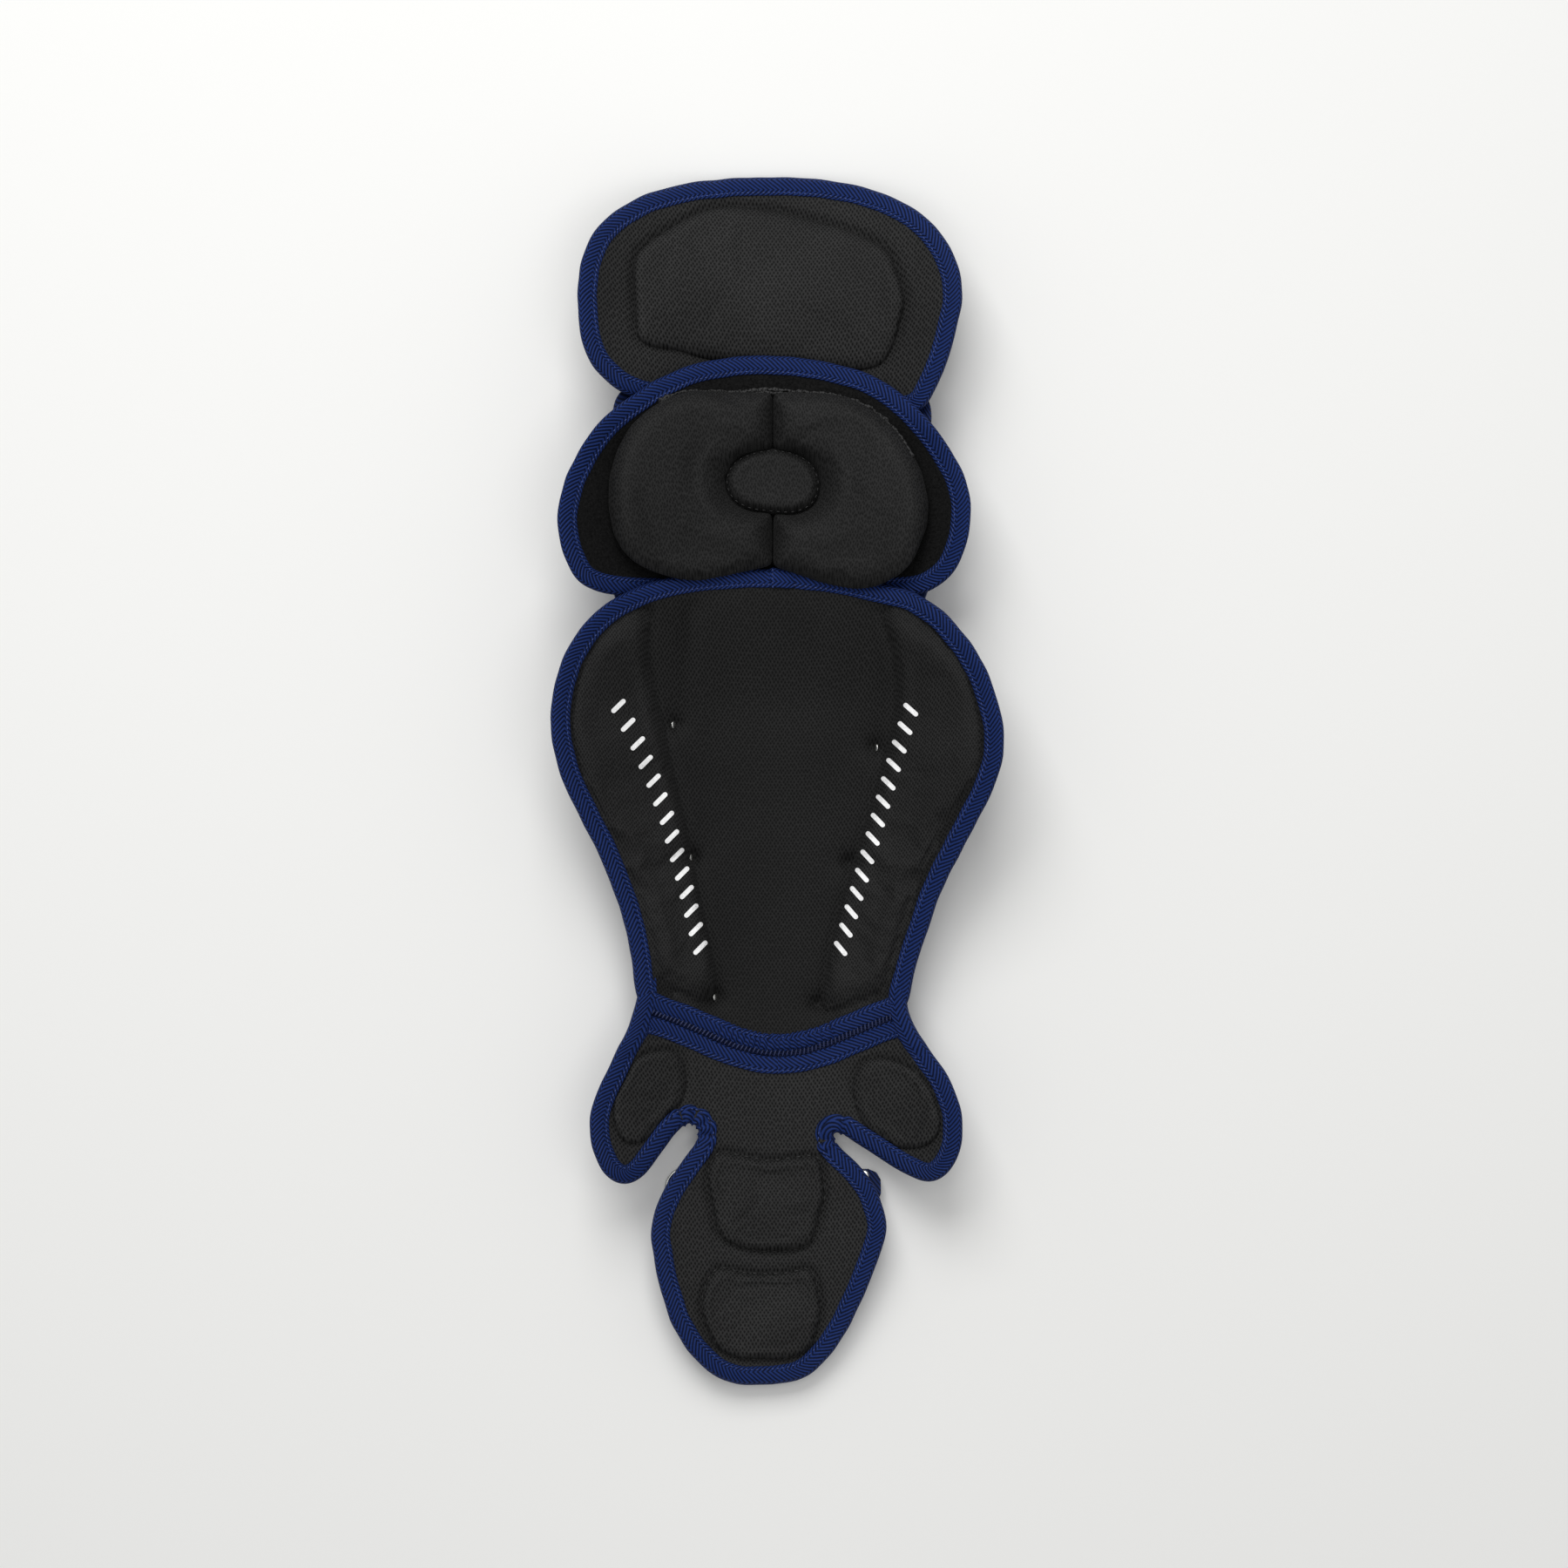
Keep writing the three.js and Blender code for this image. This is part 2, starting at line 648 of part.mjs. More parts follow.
// Keeps the points that a chord would miss by more than edgeStep.
function thinned(dense) {
  const keep = new Set([0, Math.floor(dense.length / 2)]);
  const split = (a, b) => {
    let [worst, far] = [-1, edgeStep];
    for (let i = a + 1; i < b; i++) {
      const gap = distanceToEdge(dense[i], dense[a], dense[b % dense.length]);
      if (gap > far) [worst, far] = [i, gap];
    }
    if (worst < 0) return;
    keep.add(worst);
    split(a, worst);
    split(worst, b);
  };
  split(0, Math.floor(dense.length / 2));
  split(Math.floor(dense.length / 2), dense.length);
  return [...keep].sort((a, b) => a - b).map((i) => dense[i]);
}
function distanceToEdge(p, a, b) {
  const edge = b.clone().sub(a);
  const share = THREE.MathUtils.clamp(p.clone().sub(a).dot(edge) / Math.max(edge.lengthSq(), 1e-9), 0, 1);
  return p.distanceTo(a.clone().addScaledVector(edge, share));
}
// Moves an anticlockwise outline inwards by a distance, point for point and a little at a time. Where a
// corner draws its points across each other they gather close round the place where the outline crosses.
const insetStep = 0.4;
const gathered = 0.1;
const longestLoop = 8;
function inset(outline, distance) {
  const count = outline.length;
  const steps = Math.max(1, Math.ceil(Math.abs(distance) / insetStep));
  let points = outline;
  for (let k = 0; k < steps; k++) {
    points = points.map((p, i) => {
      const before = p.clone().sub(points[(i + count - 1) % count]).normalize();
      const after = points[(i + 1) % count].clone().sub(p).normalize();
      const along = before.clone().add(after).normalize();
      const by = distance / steps / Math.max(0.6, before.dot(along));
      return new THREE.Vector2(p.x - along.y * by, p.y + along.x * by);
    });
    untangle(points);
  }
  return points;
}
function untangle(points) {
  const count = points.length;
  const at = (i) => points[(i + count) % count];
  for (let i = 0; i < count; i++) {
    for (let span = longestLoop; span >= 2; span--) {
      const cross = crossing(at(i), at(i + 1), at(i + span), at(i + span + 1));
      if (!cross) continue;
      const back = at(i).clone().sub(cross);
      const on = at(i + span + 1).clone().sub(cross);
      const room = Math.min(gathered, back.length() / span, on.length() / span);
      for (let k = 1; k <= span; k++) {
        const place = k - (span + 1) / 2;
        const direction = (place < 0 ? back : on).clone().normalize();
        at(i + k).copy(cross).addScaledVector(direction, Math.abs(place) * room);
      }
      break;
    }
  }
}
function crossing(a, b, c, d) {
  const [ab, cd, ac] = [b.clone().sub(a), d.clone().sub(c), c.clone().sub(a)];
  const turn = ab.cross(cd);
  const [u, v] = [ac.cross(cd) / turn, ac.cross(ab) / turn];
  return u > 0 && u < 1 && v > 0 && v < 1 ? a.clone().addScaledVector(ab, u) : null;
}
function ring(outline, height) {
  return outline.map((p) => new THREE.Vector3(p.x, p.y, facetedTrough(p.x) + height(p.x, p.y)));
}

// A piece is a sheet between two heights, cut to its outline. Its upper or lower edge may be bevelled.
const level = (outline, z) => outline.map((p) => new THREE.Vector3(p.x, p.y, z));
const [below, above] = [-overallLength, overallLength];
const prism = (outline) => wallSolid([level(outline, below), level(outline, above)]);
const flatEdged = (outline, low, high) => drapedSheet(outline, low, high).intersect(prism(outline));
function piece(outline, low, high, bevel, swelling = false) {
  const top = inset(outline, bevel);
  const cutter = wallSolid([
    level(outline, below),
    ring(outline, raised(high, -bevel)),
    ring(top, high),
    level(top, above),
  ]);
  return drapedSheet(outline, low, high, swelling).intersect(cutter);
}
function shellPiece(outline, low, high, bevel) {
  const under = inset(outline, bevel);
  const cutter = wallSolid([
    level(under, below),
    ring(under, low),
    ring(outline, raised(low, bevel)),
    level(outline, above),
  ]);
  return drapedSheet(outline, low, high).intersect(cutter);
}
// Tape folded over a panel's edge: a slab, less the room for the panel and the opening inside it.
function tapeRound(outline, low, thickness) {
  const [bottom, top] = [raised(low, -lipHeight), raised(low, thickness + lipHeight)];
  const room = inset(outline, tapeThickness);
  return flatEdged(outline, bottom, top)
    .subtract(flatEdged(room, raised(low, -tapeGap), raised(low, thickness + tapeGap)))
    .subtract(prism(inset(outline, tapeWidth)));
}
const insideTape = (outline) => inset(outline, lipHeight);
const insideLip = (outline) => inset(outline, tapeWidth + touch);
// A height that swells by crown towards the middle of an outline.
function crowned(outline, height, crown) {
  const box = new THREE.Box2().setFromPoints(outline);
  const middle = box.getCenter(new THREE.Vector2());
  const size = box.getSize(new THREE.Vector2()).multiplyScalar(0.5);
  return (x, y) => {
    const off = ((x - middle.x) / size.x) ** 2 + ((y - middle.y) / size.y) ** 2;
    return height(x, y) + crown * Math.max(0, 1 - off);
  };
}

// Materials
const material = (color, roughness, metalness) => new THREE.MeshStandardMaterial({ color, roughness, metalness });
const blackMesh = material(0x222222, 0.9, 0);
const blackKnit = material(0x1a1a1a, 0.95, 0);
const navyTape = material(0x14275c, 0.85, 0);
const navyShell = material(0x10214f, 0.35, 0);
const steel = material(0xc8ccd0, 0.3, 1);

const guard = new THREE.Group();
const add = (name, solid, finish) => guard.add(meshOf(name, solid, finish));

// Thigh pad
const thighEdge = placeOutline(thighOutline, thighOffset, thighWidth, 0, thighLength);
const thighLow = heightOf(layers.thigh);
const thighHigh = raised(thighLow, thighPadThickness);
add("thigh_pad", flatEdged(insideTape(thighEdge), thighLow, thighHigh), blackMesh);
add("thigh_binding", tapeRound(thighEdge, thighLow, thighPadThickness), navyTape);
const cushionEdge = placeOutline(thighCushionOutline, thighOffset, thighWidth, 0, thighLength);
const cushionHigh = crowned(cushionEdge, raised(thighHigh, thighCushionHeight), thighCushionCrown);
const cushionUnder = raised(thighHigh, touch);
// The knee panel lies over the cushion's lower end, so the cushion stays under it there.
const underKnee = raised(heightOf(layers.knee), -lipHeight - touch);
const pressed = (x, y) => {
  const free = THREE.MathUtils.clamp((kneeTop - 4 - fromTop(y)) / 16, 0, 1);
  return Math.min(cushionHigh(x, y), THREE.MathUtils.lerp(underKnee(x, y), cushionHigh(x, y), free));
};
add("thigh_cushion", piece(cushionEdge, cushionUnder, pressed, 2.5, true), blackMesh);

// Web between the thigh pad and the knee panel
const bridgeRows = [
  { across: 0, down: 0 },
  { across: 0.8, down: 0.02 },
  { across: 0.98, down: 0.2 },
  { across: 0.98, down: 0.8 },
  { across: 0.8, down: 0.98 },
  { across: 0, down: 1 },
  { across: -0.8, down: 0.98 },
  { across: -0.98, down: 0.8 },
  { across: -0.98, down: 0.2 },
  { across: -0.8, down: 0.02 },
];
const bridgeWidth = 182;
const bridgeLength = 44;
const bridgeTopEdge = kneeTop + 14;
const bridgeOffset = thighOffset + 1.25;
const bridgeEdge = placeOutline(bridgeRows, bridgeOffset, bridgeWidth, bridgeTopEdge, bridgeLength);
const bridgeLow = heightOf(layers.bridge);
add("thigh_bridge", piece(bridgeEdge, bridgeLow, raised(bridgeLow, bridgeThickness), 0.8), navyTape);

// Knee panel and its two-lobed pad
const kneeEdge = placeOutline(kneeOutline, kneeOffset, kneeWidth, kneeTop, kneeLength);
const kneeLow = heightOf(layers.knee);
add("knee_panel", flatEdged(insideTape(kneeEdge), kneeLow, raised(kneeLow, kneePanelThickness)), blackKnit);
add("knee_binding", tapeRound(kneeEdge, kneeLow, kneePanelThickness), navyTape);
const onKnee = (rows) => placeOutline(rows, kneeOffset, kneeWidth, kneeTop, kneeLength);
const padUnder = heightOf(layers.kneePadUnder);
const padTop = heightOf(layers.kneePadTop);
const centreEdge = onKnee(kneeCentreOutline);
const centreHole = wallSolid([
  level(inset(centreEdge, -touch), below),
  ring(inset(centreEdge, -touch), raised(padTop, -kneeCentreDrop)),
  ring(inset(centreEdge, -kneeCentreDrop), raised(padTop, kneePadCrown)),
  level(inset(centreEdge, -kneeCentreDrop), above),
]);
const kneePadEdge = onKnee(kneePadOutline);
const seamX = kneeOffset + (kneePadSeam * kneeWidth) / 2;
for (const [name, side] of [
  ["knee_pad_left", -1],
  ["knee_pad_right", 1],
]) {
  const near = seamX + (side * kneePadSeamGap) / 2;
  const far = side * kneeWidth;
  const [left, right] = [Math.min(near, far), Math.max(near, far)];
  const half = prism([
    new THREE.Vector2(left, -overallLength),
    new THREE.Vector2(right, -overallLength),
    new THREE.Vector2(right, overallLength),
    new THREE.Vector2(left, overallLength),
  ]);
  const lobe = kneePadEdge.filter((p) => side * (p.x - near) > 0);
  const pad = piece(kneePadEdge, padUnder, crowned(lobe, padTop, kneePadCrown), 4, true);
  add(name, pad.intersect(half).subtract(centreHole), blackKnit);
}
add("knee_pad_centre", piece(centreEdge, padUnder, raised(padTop, -kneeCentreDrop), 1.5), blackKnit);

// Shin liner with its side pads and rivets
const shinPoint = (row) =>
  new THREE.Vector3((row.across * shinWidth) / 2, overallLength / 2 - shinTop - row.down * shinLength, 0);
const seamPoints = ankleSeam.map(shinPoint);
const shinEdge = roundOutline([...seamPoints, ...[...shinSidesOutline].reverse().map(shinPoint)]);
const shinLow = heightOf(layers.shin);
const shinHigh = raised(shinLow, shinLinerThickness);
const shinShellLow = heightOf(layers.shinShell);

function slopeFrame(x, y, height) {
  const step = 2;
  const upright = (at) => facetedTrough(at) + height(at, y);
  const across = (upright(x + step) - upright(x - step)) / (2 * step);
  const normal = new THREE.Vector3(-across, 0, 1).normalize();
  const turn = new THREE.Quaternion().setFromUnitVectors(new THREE.Vector3(0, 0, 1), normal);
  const place = new THREE.Vector3(x, y, facetedTrough(x) + height(x, y));
  return { place, turn, matrix: new THREE.Matrix4().compose(place, turn, new THREE.Vector3(1, 1, 1)) };
}
// A round solid from a profile of radius and height, standing on a sloping frame.
function turned(profile, frame, sides) {
  const rings = profile.map(([radius, height]) =>
    Array.from({ length: sides }, (_, i) => {
      const angle = (2 * Math.PI * i) / sides;
      return new THREE.Vector3(radius * Math.cos(angle), radius * Math.sin(angle), height).applyMatrix4(frame.matrix);
    }),
  );
  return wallSolid(rings);
}
const rivetSides = 8;
const shankRoom = rivetShankRadius + rivetClearance;
// A hole for a rivet's shank through everything under a place, to a depth below it.
const rivetHole = (frame, depth) => turned([[shankRoom, -depth - 2], [shankRoom, 3]], frame, rivetSides);
// A rivet whose heads lie on both sides of a stack of the given thickness below the frame's place.
function rivet(frame, stack) {
  const lift = rivetClearance;
  const profile = [
    [rivetHeadRadius * 0.8, -stack - rivetHeadThickness],
    [rivetHeadRadius, -stack],
    [rivetShankRadius, -stack],
    [rivetShankRadius, lift],
    [rivetHeadRadius, lift],
    [rivetHeadRadius * 0.8, lift + rivetHeadThickness],
  ];
  return turned(profile, frame, rivetSides);
}
// Layers are as thick upright as their thickness says, so square to a slope they are thinner.
const squareStack = (frame, upright) =>
  upright * new THREE.Vector3(0, 0, 1).applyQuaternion(frame.turn).z + 2 * rivetClearance;
let liner = flatEdged(insideTape(shinEdge), shinLow, shinHigh);
const shinShellRows = [...ankleSeam, ...[...shinSidesOutline].reverse()].map((row) => ({
  across: row.across * shinShellCover,
  down: 0.065 + row.down * 0.855,
}));
const shinShellEdge = roundOutline(shinShellRows.map(shinPoint));
let shinShell = shellPiece(shinShellEdge, shinShellLow, raised(shinShellLow, shellWall), 1.2);
const rivetRoom = [];
const linerStack = onShell - shellInside + shinLinerThickness + shellWall;
for (const row of linerRivets) {
  const spot = shinPoint(row);
  const frame = slopeFrame(spot.x, spot.y, shinHigh);
  const stack = squareStack(frame, linerStack);
  liner = liner.subtract(rivetHole(frame, stack));
  shinShell = shinShell.subtract(rivetHole(frame, stack));
  const headRoom = rivetHeadRadius + 2 * rivetClearance;
  rivetRoom.push(turned([[headRoom, -1], [headRoom, troughReach]], frame, rivetSides));
  add("liner_rivet_" + row.name, rivet(frame, stack), steel);
}
add("shin_liner", liner, blackMesh);
add("shin_binding", tapeRound(shinEdge, shinLow, shinLinerThickness), navyTape);
for (const [name, rows] of [
  ["shin_side_pad_left", sidePadLeftOutline],
  ["shin_side_pad_right", sidePadRightOutline],
]) {
  const edge = roundOutline(rows.map(shinPoint));
  let pad = piece(edge, raised(shinHigh, touch), raised(shinHigh, sidePadHeight), 2.5);
  pad = pad.intersect(prism(insideLip(shinEdge)));
  for (const room of rivetRoom) pad = pad.subtract(room);
  add(name, pad, blackMesh);
}

// Ankle flap: wings, tongue and their pads
const flapPoint = (row) =>
  new THREE.Vector3(
    flapOffset + (row.across * flapWidth) / 2,
    overallLength / 2 - flapTop - row.down * flapLength,
    0,
  );
const seamBelow = seamPoints.map((p, i) => {
  const end = i === 0 || i === seamPoints.length - 1;
  return new THREE.Vector3(p.x, p.y - (end ? seamEndGap : seamGap), 0);
});
const flapEdge = roundOutline([...seamBelow, ...flapBodyOutline.map(flapPoint)]);
const flapLow = heightOf([{ from: 0, height: onShell }]);
const flapHigh = raised(flapLow, flapThickness);
add("ankle_flap", flatEdged(insideTape(flapEdge), flapLow, flapHigh), blackMesh);
add("ankle_binding", tapeRound(flapEdge, flapLow, flapThickness), navyTape);
for (const [name, rows, height] of [
  ["wing_pad_left", wingPadLeftOutline, wingPadHeight],
  ["wing_pad_right", wingPadRightOutline, wingPadHeight],
  ["instep_pad_upper", instepPadUpperOutline, instepPadHeight],
  ["instep_pad_lower", instepPadLowerOutline, instepPadHeight],
]) {
  const edge = placeOutline(rows, flapOffset, flapWidth, flapTop, flapLength);
  const top = crowned(edge, raised(flapHigh, height), smallPadCrown);
  const pad = piece(edge, raised(flapHigh, touch), top, 1.5, true);
  add(name, pad.intersect(prism(insideLip(flapEdge))), blackMesh);
}

// Shells: each has a raised field down its middle, which the guard lies on
function withField(shell, fieldEdge, low) {
  const field = flatEdged(fieldEdge, heightOf(layers.floor), raised(low, shellWall / 2));
  return shell.add(field);
}
const fieldRows = [
  { across: 0, down: 0 },
  { across: 0.8, down: 0.06 },
  { across: 1, down: 0.3 },
  { across: 0.85, down: 0.7 },
  { across: 0.55, down: 0.96 },
  { across: 0, down: 1 },
  { across: -0.55, down: 0.96 },
  { across: -0.85, down: 0.7 },
  { across: -1, down: 0.3 },
  { across: -0.8, down: 0.06 },
];
const shellLow = heightOf(layers.shell);
const kneeShellTop = kneeTop + 16;
const kneeShellLength = tuckEnd - kneeShellTop;
const kneeShellEdge = placeOutline(kneeOutline, kneeOffset / 2, kneeWidth * kneeShellCover, kneeShellTop, kneeShellLength);
const kneeField = placeOutline(fieldRows, 0, kneeWidth * 0.44, kneeShellTop + 22, kneeShellLength - 44);
let kneeShell = withField(
  shellPiece(kneeShellEdge, shellLow, raised(shellLow, shellWall), 1.2),
  kneeField,
  shellLow,
);
// Two rivets hold the knee shell to the tucked end of the shin shell.
for (const [name, side] of [
  ["knee_rivet_left", -1],
  ["knee_rivet_right", 1],
]) {
  const frame = slopeFrame(side * kneeRivetReach, overallLength / 2 - tuckEnd + kneeRivetSetback, raised(shinShellLow, shellWall));
  const stack = squareStack(frame, tuckedShellTop - bossHeight);
  kneeShell = kneeShell.subtract(rivetHole(frame, stack));
  shinShell = shinShell.subtract(rivetHole(frame, stack));
  add(name, rivet(frame, stack), steel);
}
add("knee_shell", kneeShell, navyShell);

const shinFieldTop = tuckEnd + 26;
const shinField = placeOutline(fieldRows, 0, shinWidth * 0.3, shinFieldTop, flapTop - 30 - shinFieldTop);
add("shin_shell", withField(shinShell, shinField, shinShellLow), navyShell);

const footShellEdge = roundOutline(footShellOutline.map(flapPoint));
const footField = placeOutline(fieldRows, flapOffset - 4.5, flapWidth * 0.36, flapTop + flapLength * 0.55, flapLength * 0.3);
const footShell = shellPiece(footShellEdge, shellLow, raised(shellLow, shellWall), 1);
add("foot_shell", withField(footShell, footField, shellLow), navyShell);

// Foot strap: lies across the front of the tongue's neck, folded round a wire ring at one end
const strapFrom = flapTop + flapLength * 0.477;
const strapY = overallLength / 2 - strapFrom;
const strapRows = [
  { across: 0, down: 0 },
  { across: 0.9, down: 0.02 },
  { across: 0.98, down: 0.2 },
  { across: 1, down: 0.5 },
  { across: 0.98, down: 0.8 },
  { across: 0.9, down: 0.98 },
  { across: 0, down: 1 },
  { across: -0.9, down: 0.98 },
  { across: -1, down: 0.8 },
  { across: -1, down: 0.2 },
  { across: -0.9, down: 0.02 },
];
const strapEdge = placeOutline(strapRows, strapOffset, strapLength, strapFrom - strapWidth / 2, strapWidth);
const hangFrom = gridX.find((x) => x > troughFlat / 2);
const strapLow = (x, y) =>
  shellLow(x, y) - touch - strapThickness - strapDrop * Math.max(0, Math.abs(x) - hangFrom);
const strapHigh = raised(strapLow, strapThickness);
const strapMiddle = raised(strapLow, strapThickness / 2);
const strapEndX = strapOffset - strapLength / 2;

const loopX = strapEndX - ringWire;
const loopFrame = slopeFrame(loopX, strapY, strapMiddle).matrix;
// A bar along the strap's width, from a rectangle in the plane of its length and thickness.
function bar(reach, rise, width) {
  const corners = (y) =>
    [
      [-reach, -rise],
      [reach, -rise],
      [reach, rise],
      [-reach, rise],
    ].map(([x, z]) => new THREE.Vector3(x, y, z).applyMatrix4(loopFrame));
  return wallBetween(corners(-width / 2), corners(width / 2));
}
function wallBetween(first, last) {
  const [a, b] = [first, last].map((ring) => ring.flatMap((p) => [p.x, p.y, p.z]));
  const triangles = [0, 1, 2, 0, 2, 3, 4, 6, 5, 4, 7, 6];
  for (let i = 0; i < 4; i++) {
    const n = (i + 1) % 4;
    triangles.push(i, 4 + i, 4 + n, i, 4 + n, n);
  }
  return solidFrom([...a, ...b], triangles);
}
// Half the room round the wire inside the fold. The ring curves away from the fold's ends.
const foldReach = ringWire + 3 * touch;
const foldRise = ringWire + touch;
const strapRivetX = strapOffset + strapLength * 0.4;
const strapRivetFrame = slopeFrame(strapRivetX, strapY + strapWidth * 0.33, strapHigh);
const strap = flatEdged(strapEdge, strapLow, strapHigh)
  .add(bar(foldReach + strapThickness, foldRise + strapThickness, strapLoopWidth))
  .subtract(bar(foldReach, foldRise, strapLoopWidth * 2))
  .subtract(rivetHole(strapRivetFrame, strapThickness));
add("foot_strap", strap, navyTape);
add("foot_strap_rivet", rivet(strapRivetFrame, squareStack(strapRivetFrame, strapThickness)), steel);

// The ring lies in the fold, so its middle is a radius further out.
const ringGeometry = new THREE.TorusGeometry(ringRadius, ringWire, 6, 20);
ringGeometry.translate(-ringRadius + touch, 0, 0).applyMatrix4(loopFrame);
const footRing = new THREE.Mesh(ringGeometry, steel);
footRing.name = "foot_ring";
guard.add(footRing);

export default guard;
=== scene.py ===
import math
import bpy
import numpy as np
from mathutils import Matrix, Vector, noise
from mathutils.geometry import convex_hull_2d, delaunay_2d_cdt


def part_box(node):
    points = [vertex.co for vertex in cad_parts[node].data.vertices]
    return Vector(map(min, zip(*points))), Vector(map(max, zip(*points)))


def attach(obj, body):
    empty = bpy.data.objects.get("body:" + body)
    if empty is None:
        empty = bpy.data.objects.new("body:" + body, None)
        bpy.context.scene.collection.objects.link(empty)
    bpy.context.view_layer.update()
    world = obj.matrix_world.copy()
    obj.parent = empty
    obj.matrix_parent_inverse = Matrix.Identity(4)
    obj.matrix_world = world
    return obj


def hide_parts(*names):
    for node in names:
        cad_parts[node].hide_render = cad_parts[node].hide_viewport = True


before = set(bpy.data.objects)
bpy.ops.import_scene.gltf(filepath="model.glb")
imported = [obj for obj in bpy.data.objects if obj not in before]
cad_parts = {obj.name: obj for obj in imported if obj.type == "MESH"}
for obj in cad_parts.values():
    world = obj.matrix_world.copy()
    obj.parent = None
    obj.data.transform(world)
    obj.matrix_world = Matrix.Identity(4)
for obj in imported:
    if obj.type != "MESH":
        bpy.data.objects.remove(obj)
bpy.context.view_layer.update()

# The shin, knee and instep shells are the hard outside of the guard, which it lies on.
# Real ones are injection-moulded nylon about 3 mm thick with a fine spark-eroded grain.
# The knee shell laps over the shin shell and is riveted to its tucked-in upper end.
TOP_EDGE = 348.7  # mm from the middle of the guard to its upper end
# The hollow is flat for 7.5 mm each side of its middle, and has risen 38 mm at 92.5 mm more.
FLAT_HALF, CURVE_HALF, CURVE_RISE = 7.5, 92.5, 38


def trough(x):
    """How far the leg's hollow has risen at a place across it, in millimetres."""
    return CURVE_RISE * (np.maximum(0, np.abs(x) - FLAT_HALF) / CURVE_HALF) ** 2


def layer(*rows):
    """The underside of a layer: the hollow, plus its height at distances down from the top."""
    down, height = zip(*rows)
    along = np.arange(-60.0, 800.0, 2.0)
    ease = np.exp(-(np.arange(-24.0, 25.0, 2.0) / 11) ** 2)
    steps = np.interp(along, down, height)
    eased = np.convolve(np.pad(steps, 12, "edge"), ease / ease.sum(), "valid")
    return lambda x, y: trough(x) + np.interp(TOP_EDGE - y, along, eased)


def loop_area(points):
    x, y = np.asarray(points, float).T
    return 0.5 * np.sum(x * np.roll(y, -1) - np.roll(x, -1) * y)


def evenly(points, step):
    """A closed line with its points the same distance apart."""
    closed = np.vstack([points, points[:1]])
    run = np.r_[0, np.cumsum(np.hypot(*np.diff(closed, axis=0).T))]
    at = np.linspace(0, run[-1], max(12, round(run[-1] / step)), endpoint=False)
    return np.c_[np.interp(at, run, closed[:, 0]), np.interp(at, run, closed[:, 1])]


def rounded(points, reach):
    """A closed, even line with its flats and corners smoothed over a reach."""
    spacing = np.hypot(*(points[1] - points[0]))
    damp = np.exp(-2 * (math.pi * reach * np.fft.fftfreq(len(points), spacing)) ** 2)
    return np.c_[[np.fft.ifft(np.fft.fft(c) * damp).real for c in points.T]].T


def edge_of(node, reach=5.5, step=1.6):
    """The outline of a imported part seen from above, in millimetres, anticlockwise."""
    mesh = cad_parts[node].data
    spots = [tuple(round(c * 1000, 3) for c in v.co[:2]) for v in mesh.vertices]
    sides = {}
    for face in mesh.polygons:
        if face.normal.z > 0.02:
            ring = [spots[i] for i in face.vertices]
            for a, b in zip(ring, ring[1:] + ring[:1]):
                if (b, a) in sides:
                    del sides[b, a]
                else:
                    sides[a, b] = True
    after, loops = {}, []
    for a, b in sides:
        after.setdefault(a, []).append(b)
    while after:
        here, loop = next(iter(after)), []
        while here in after:
            loop.append(here)
            ahead = after[here]
            following = ahead.pop()
            if not ahead:
                del after[here]
            here = following
        loops.append(loop)
    return rounded(evenly(np.array(max(loops, key=loop_area)), step), reach)


def inward(loop, reach=0):
    """The direction into an anticlockwise loop at each of its points."""
    along = np.roll(loop, -1, 0) - np.roll(loop, 1, 0)
    into = np.c_[-along[:, 1], along[:, 0]]
    into /= np.linalg.norm(into, axis=1)[:, None]
    if reach:
        into = rounded_values(into, loop, reach)
        into /= np.linalg.norm(into, axis=1)[:, None]
    return into


def rounded_values(values, loop, reach):
    spacing = np.hypot(*(loop[1] - loop[0]))
    damp = np.exp(-2 * (math.pi * reach * np.fft.fftfreq(len(loop), spacing)) ** 2)
    return np.c_[[np.fft.ifft(np.fft.fft(c) * damp).real for c in values.T]].T


def edge_distance(points, loop):
    """How far each point lies inside a loop. Outside, the distance is below zero."""
    a, b = loop, np.roll(loop, -1, 0)
    out = np.empty(len(points))
    for start in range(0, len(points), 2000):
        p = points[start:start + 2000, None]
        along = b - a
        share = np.clip(((p - a) * along).sum(2) / (along ** 2).sum(1), 0, 1)
        gap = np.hypot(*np.moveaxis(p - a - share[..., None] * along, 2, 0)).min(1)
        above = (a[:, 1] > p[..., 1]) != (b[:, 1] > p[..., 1])
        level = np.where(above, b[:, 1] - a[:, 1], 1)
        cross = a[:, 0] + (p[..., 1] - a[:, 1]) * along[:, 0] / level
        inside = (above & (p[..., 0] < cross)).sum(1) % 2 == 1
        out[start:start + 2000] = np.where(inside, gap, -gap)
    return out


FINE_STEP = 0.9  # mm between the points of the small rings round a dimple


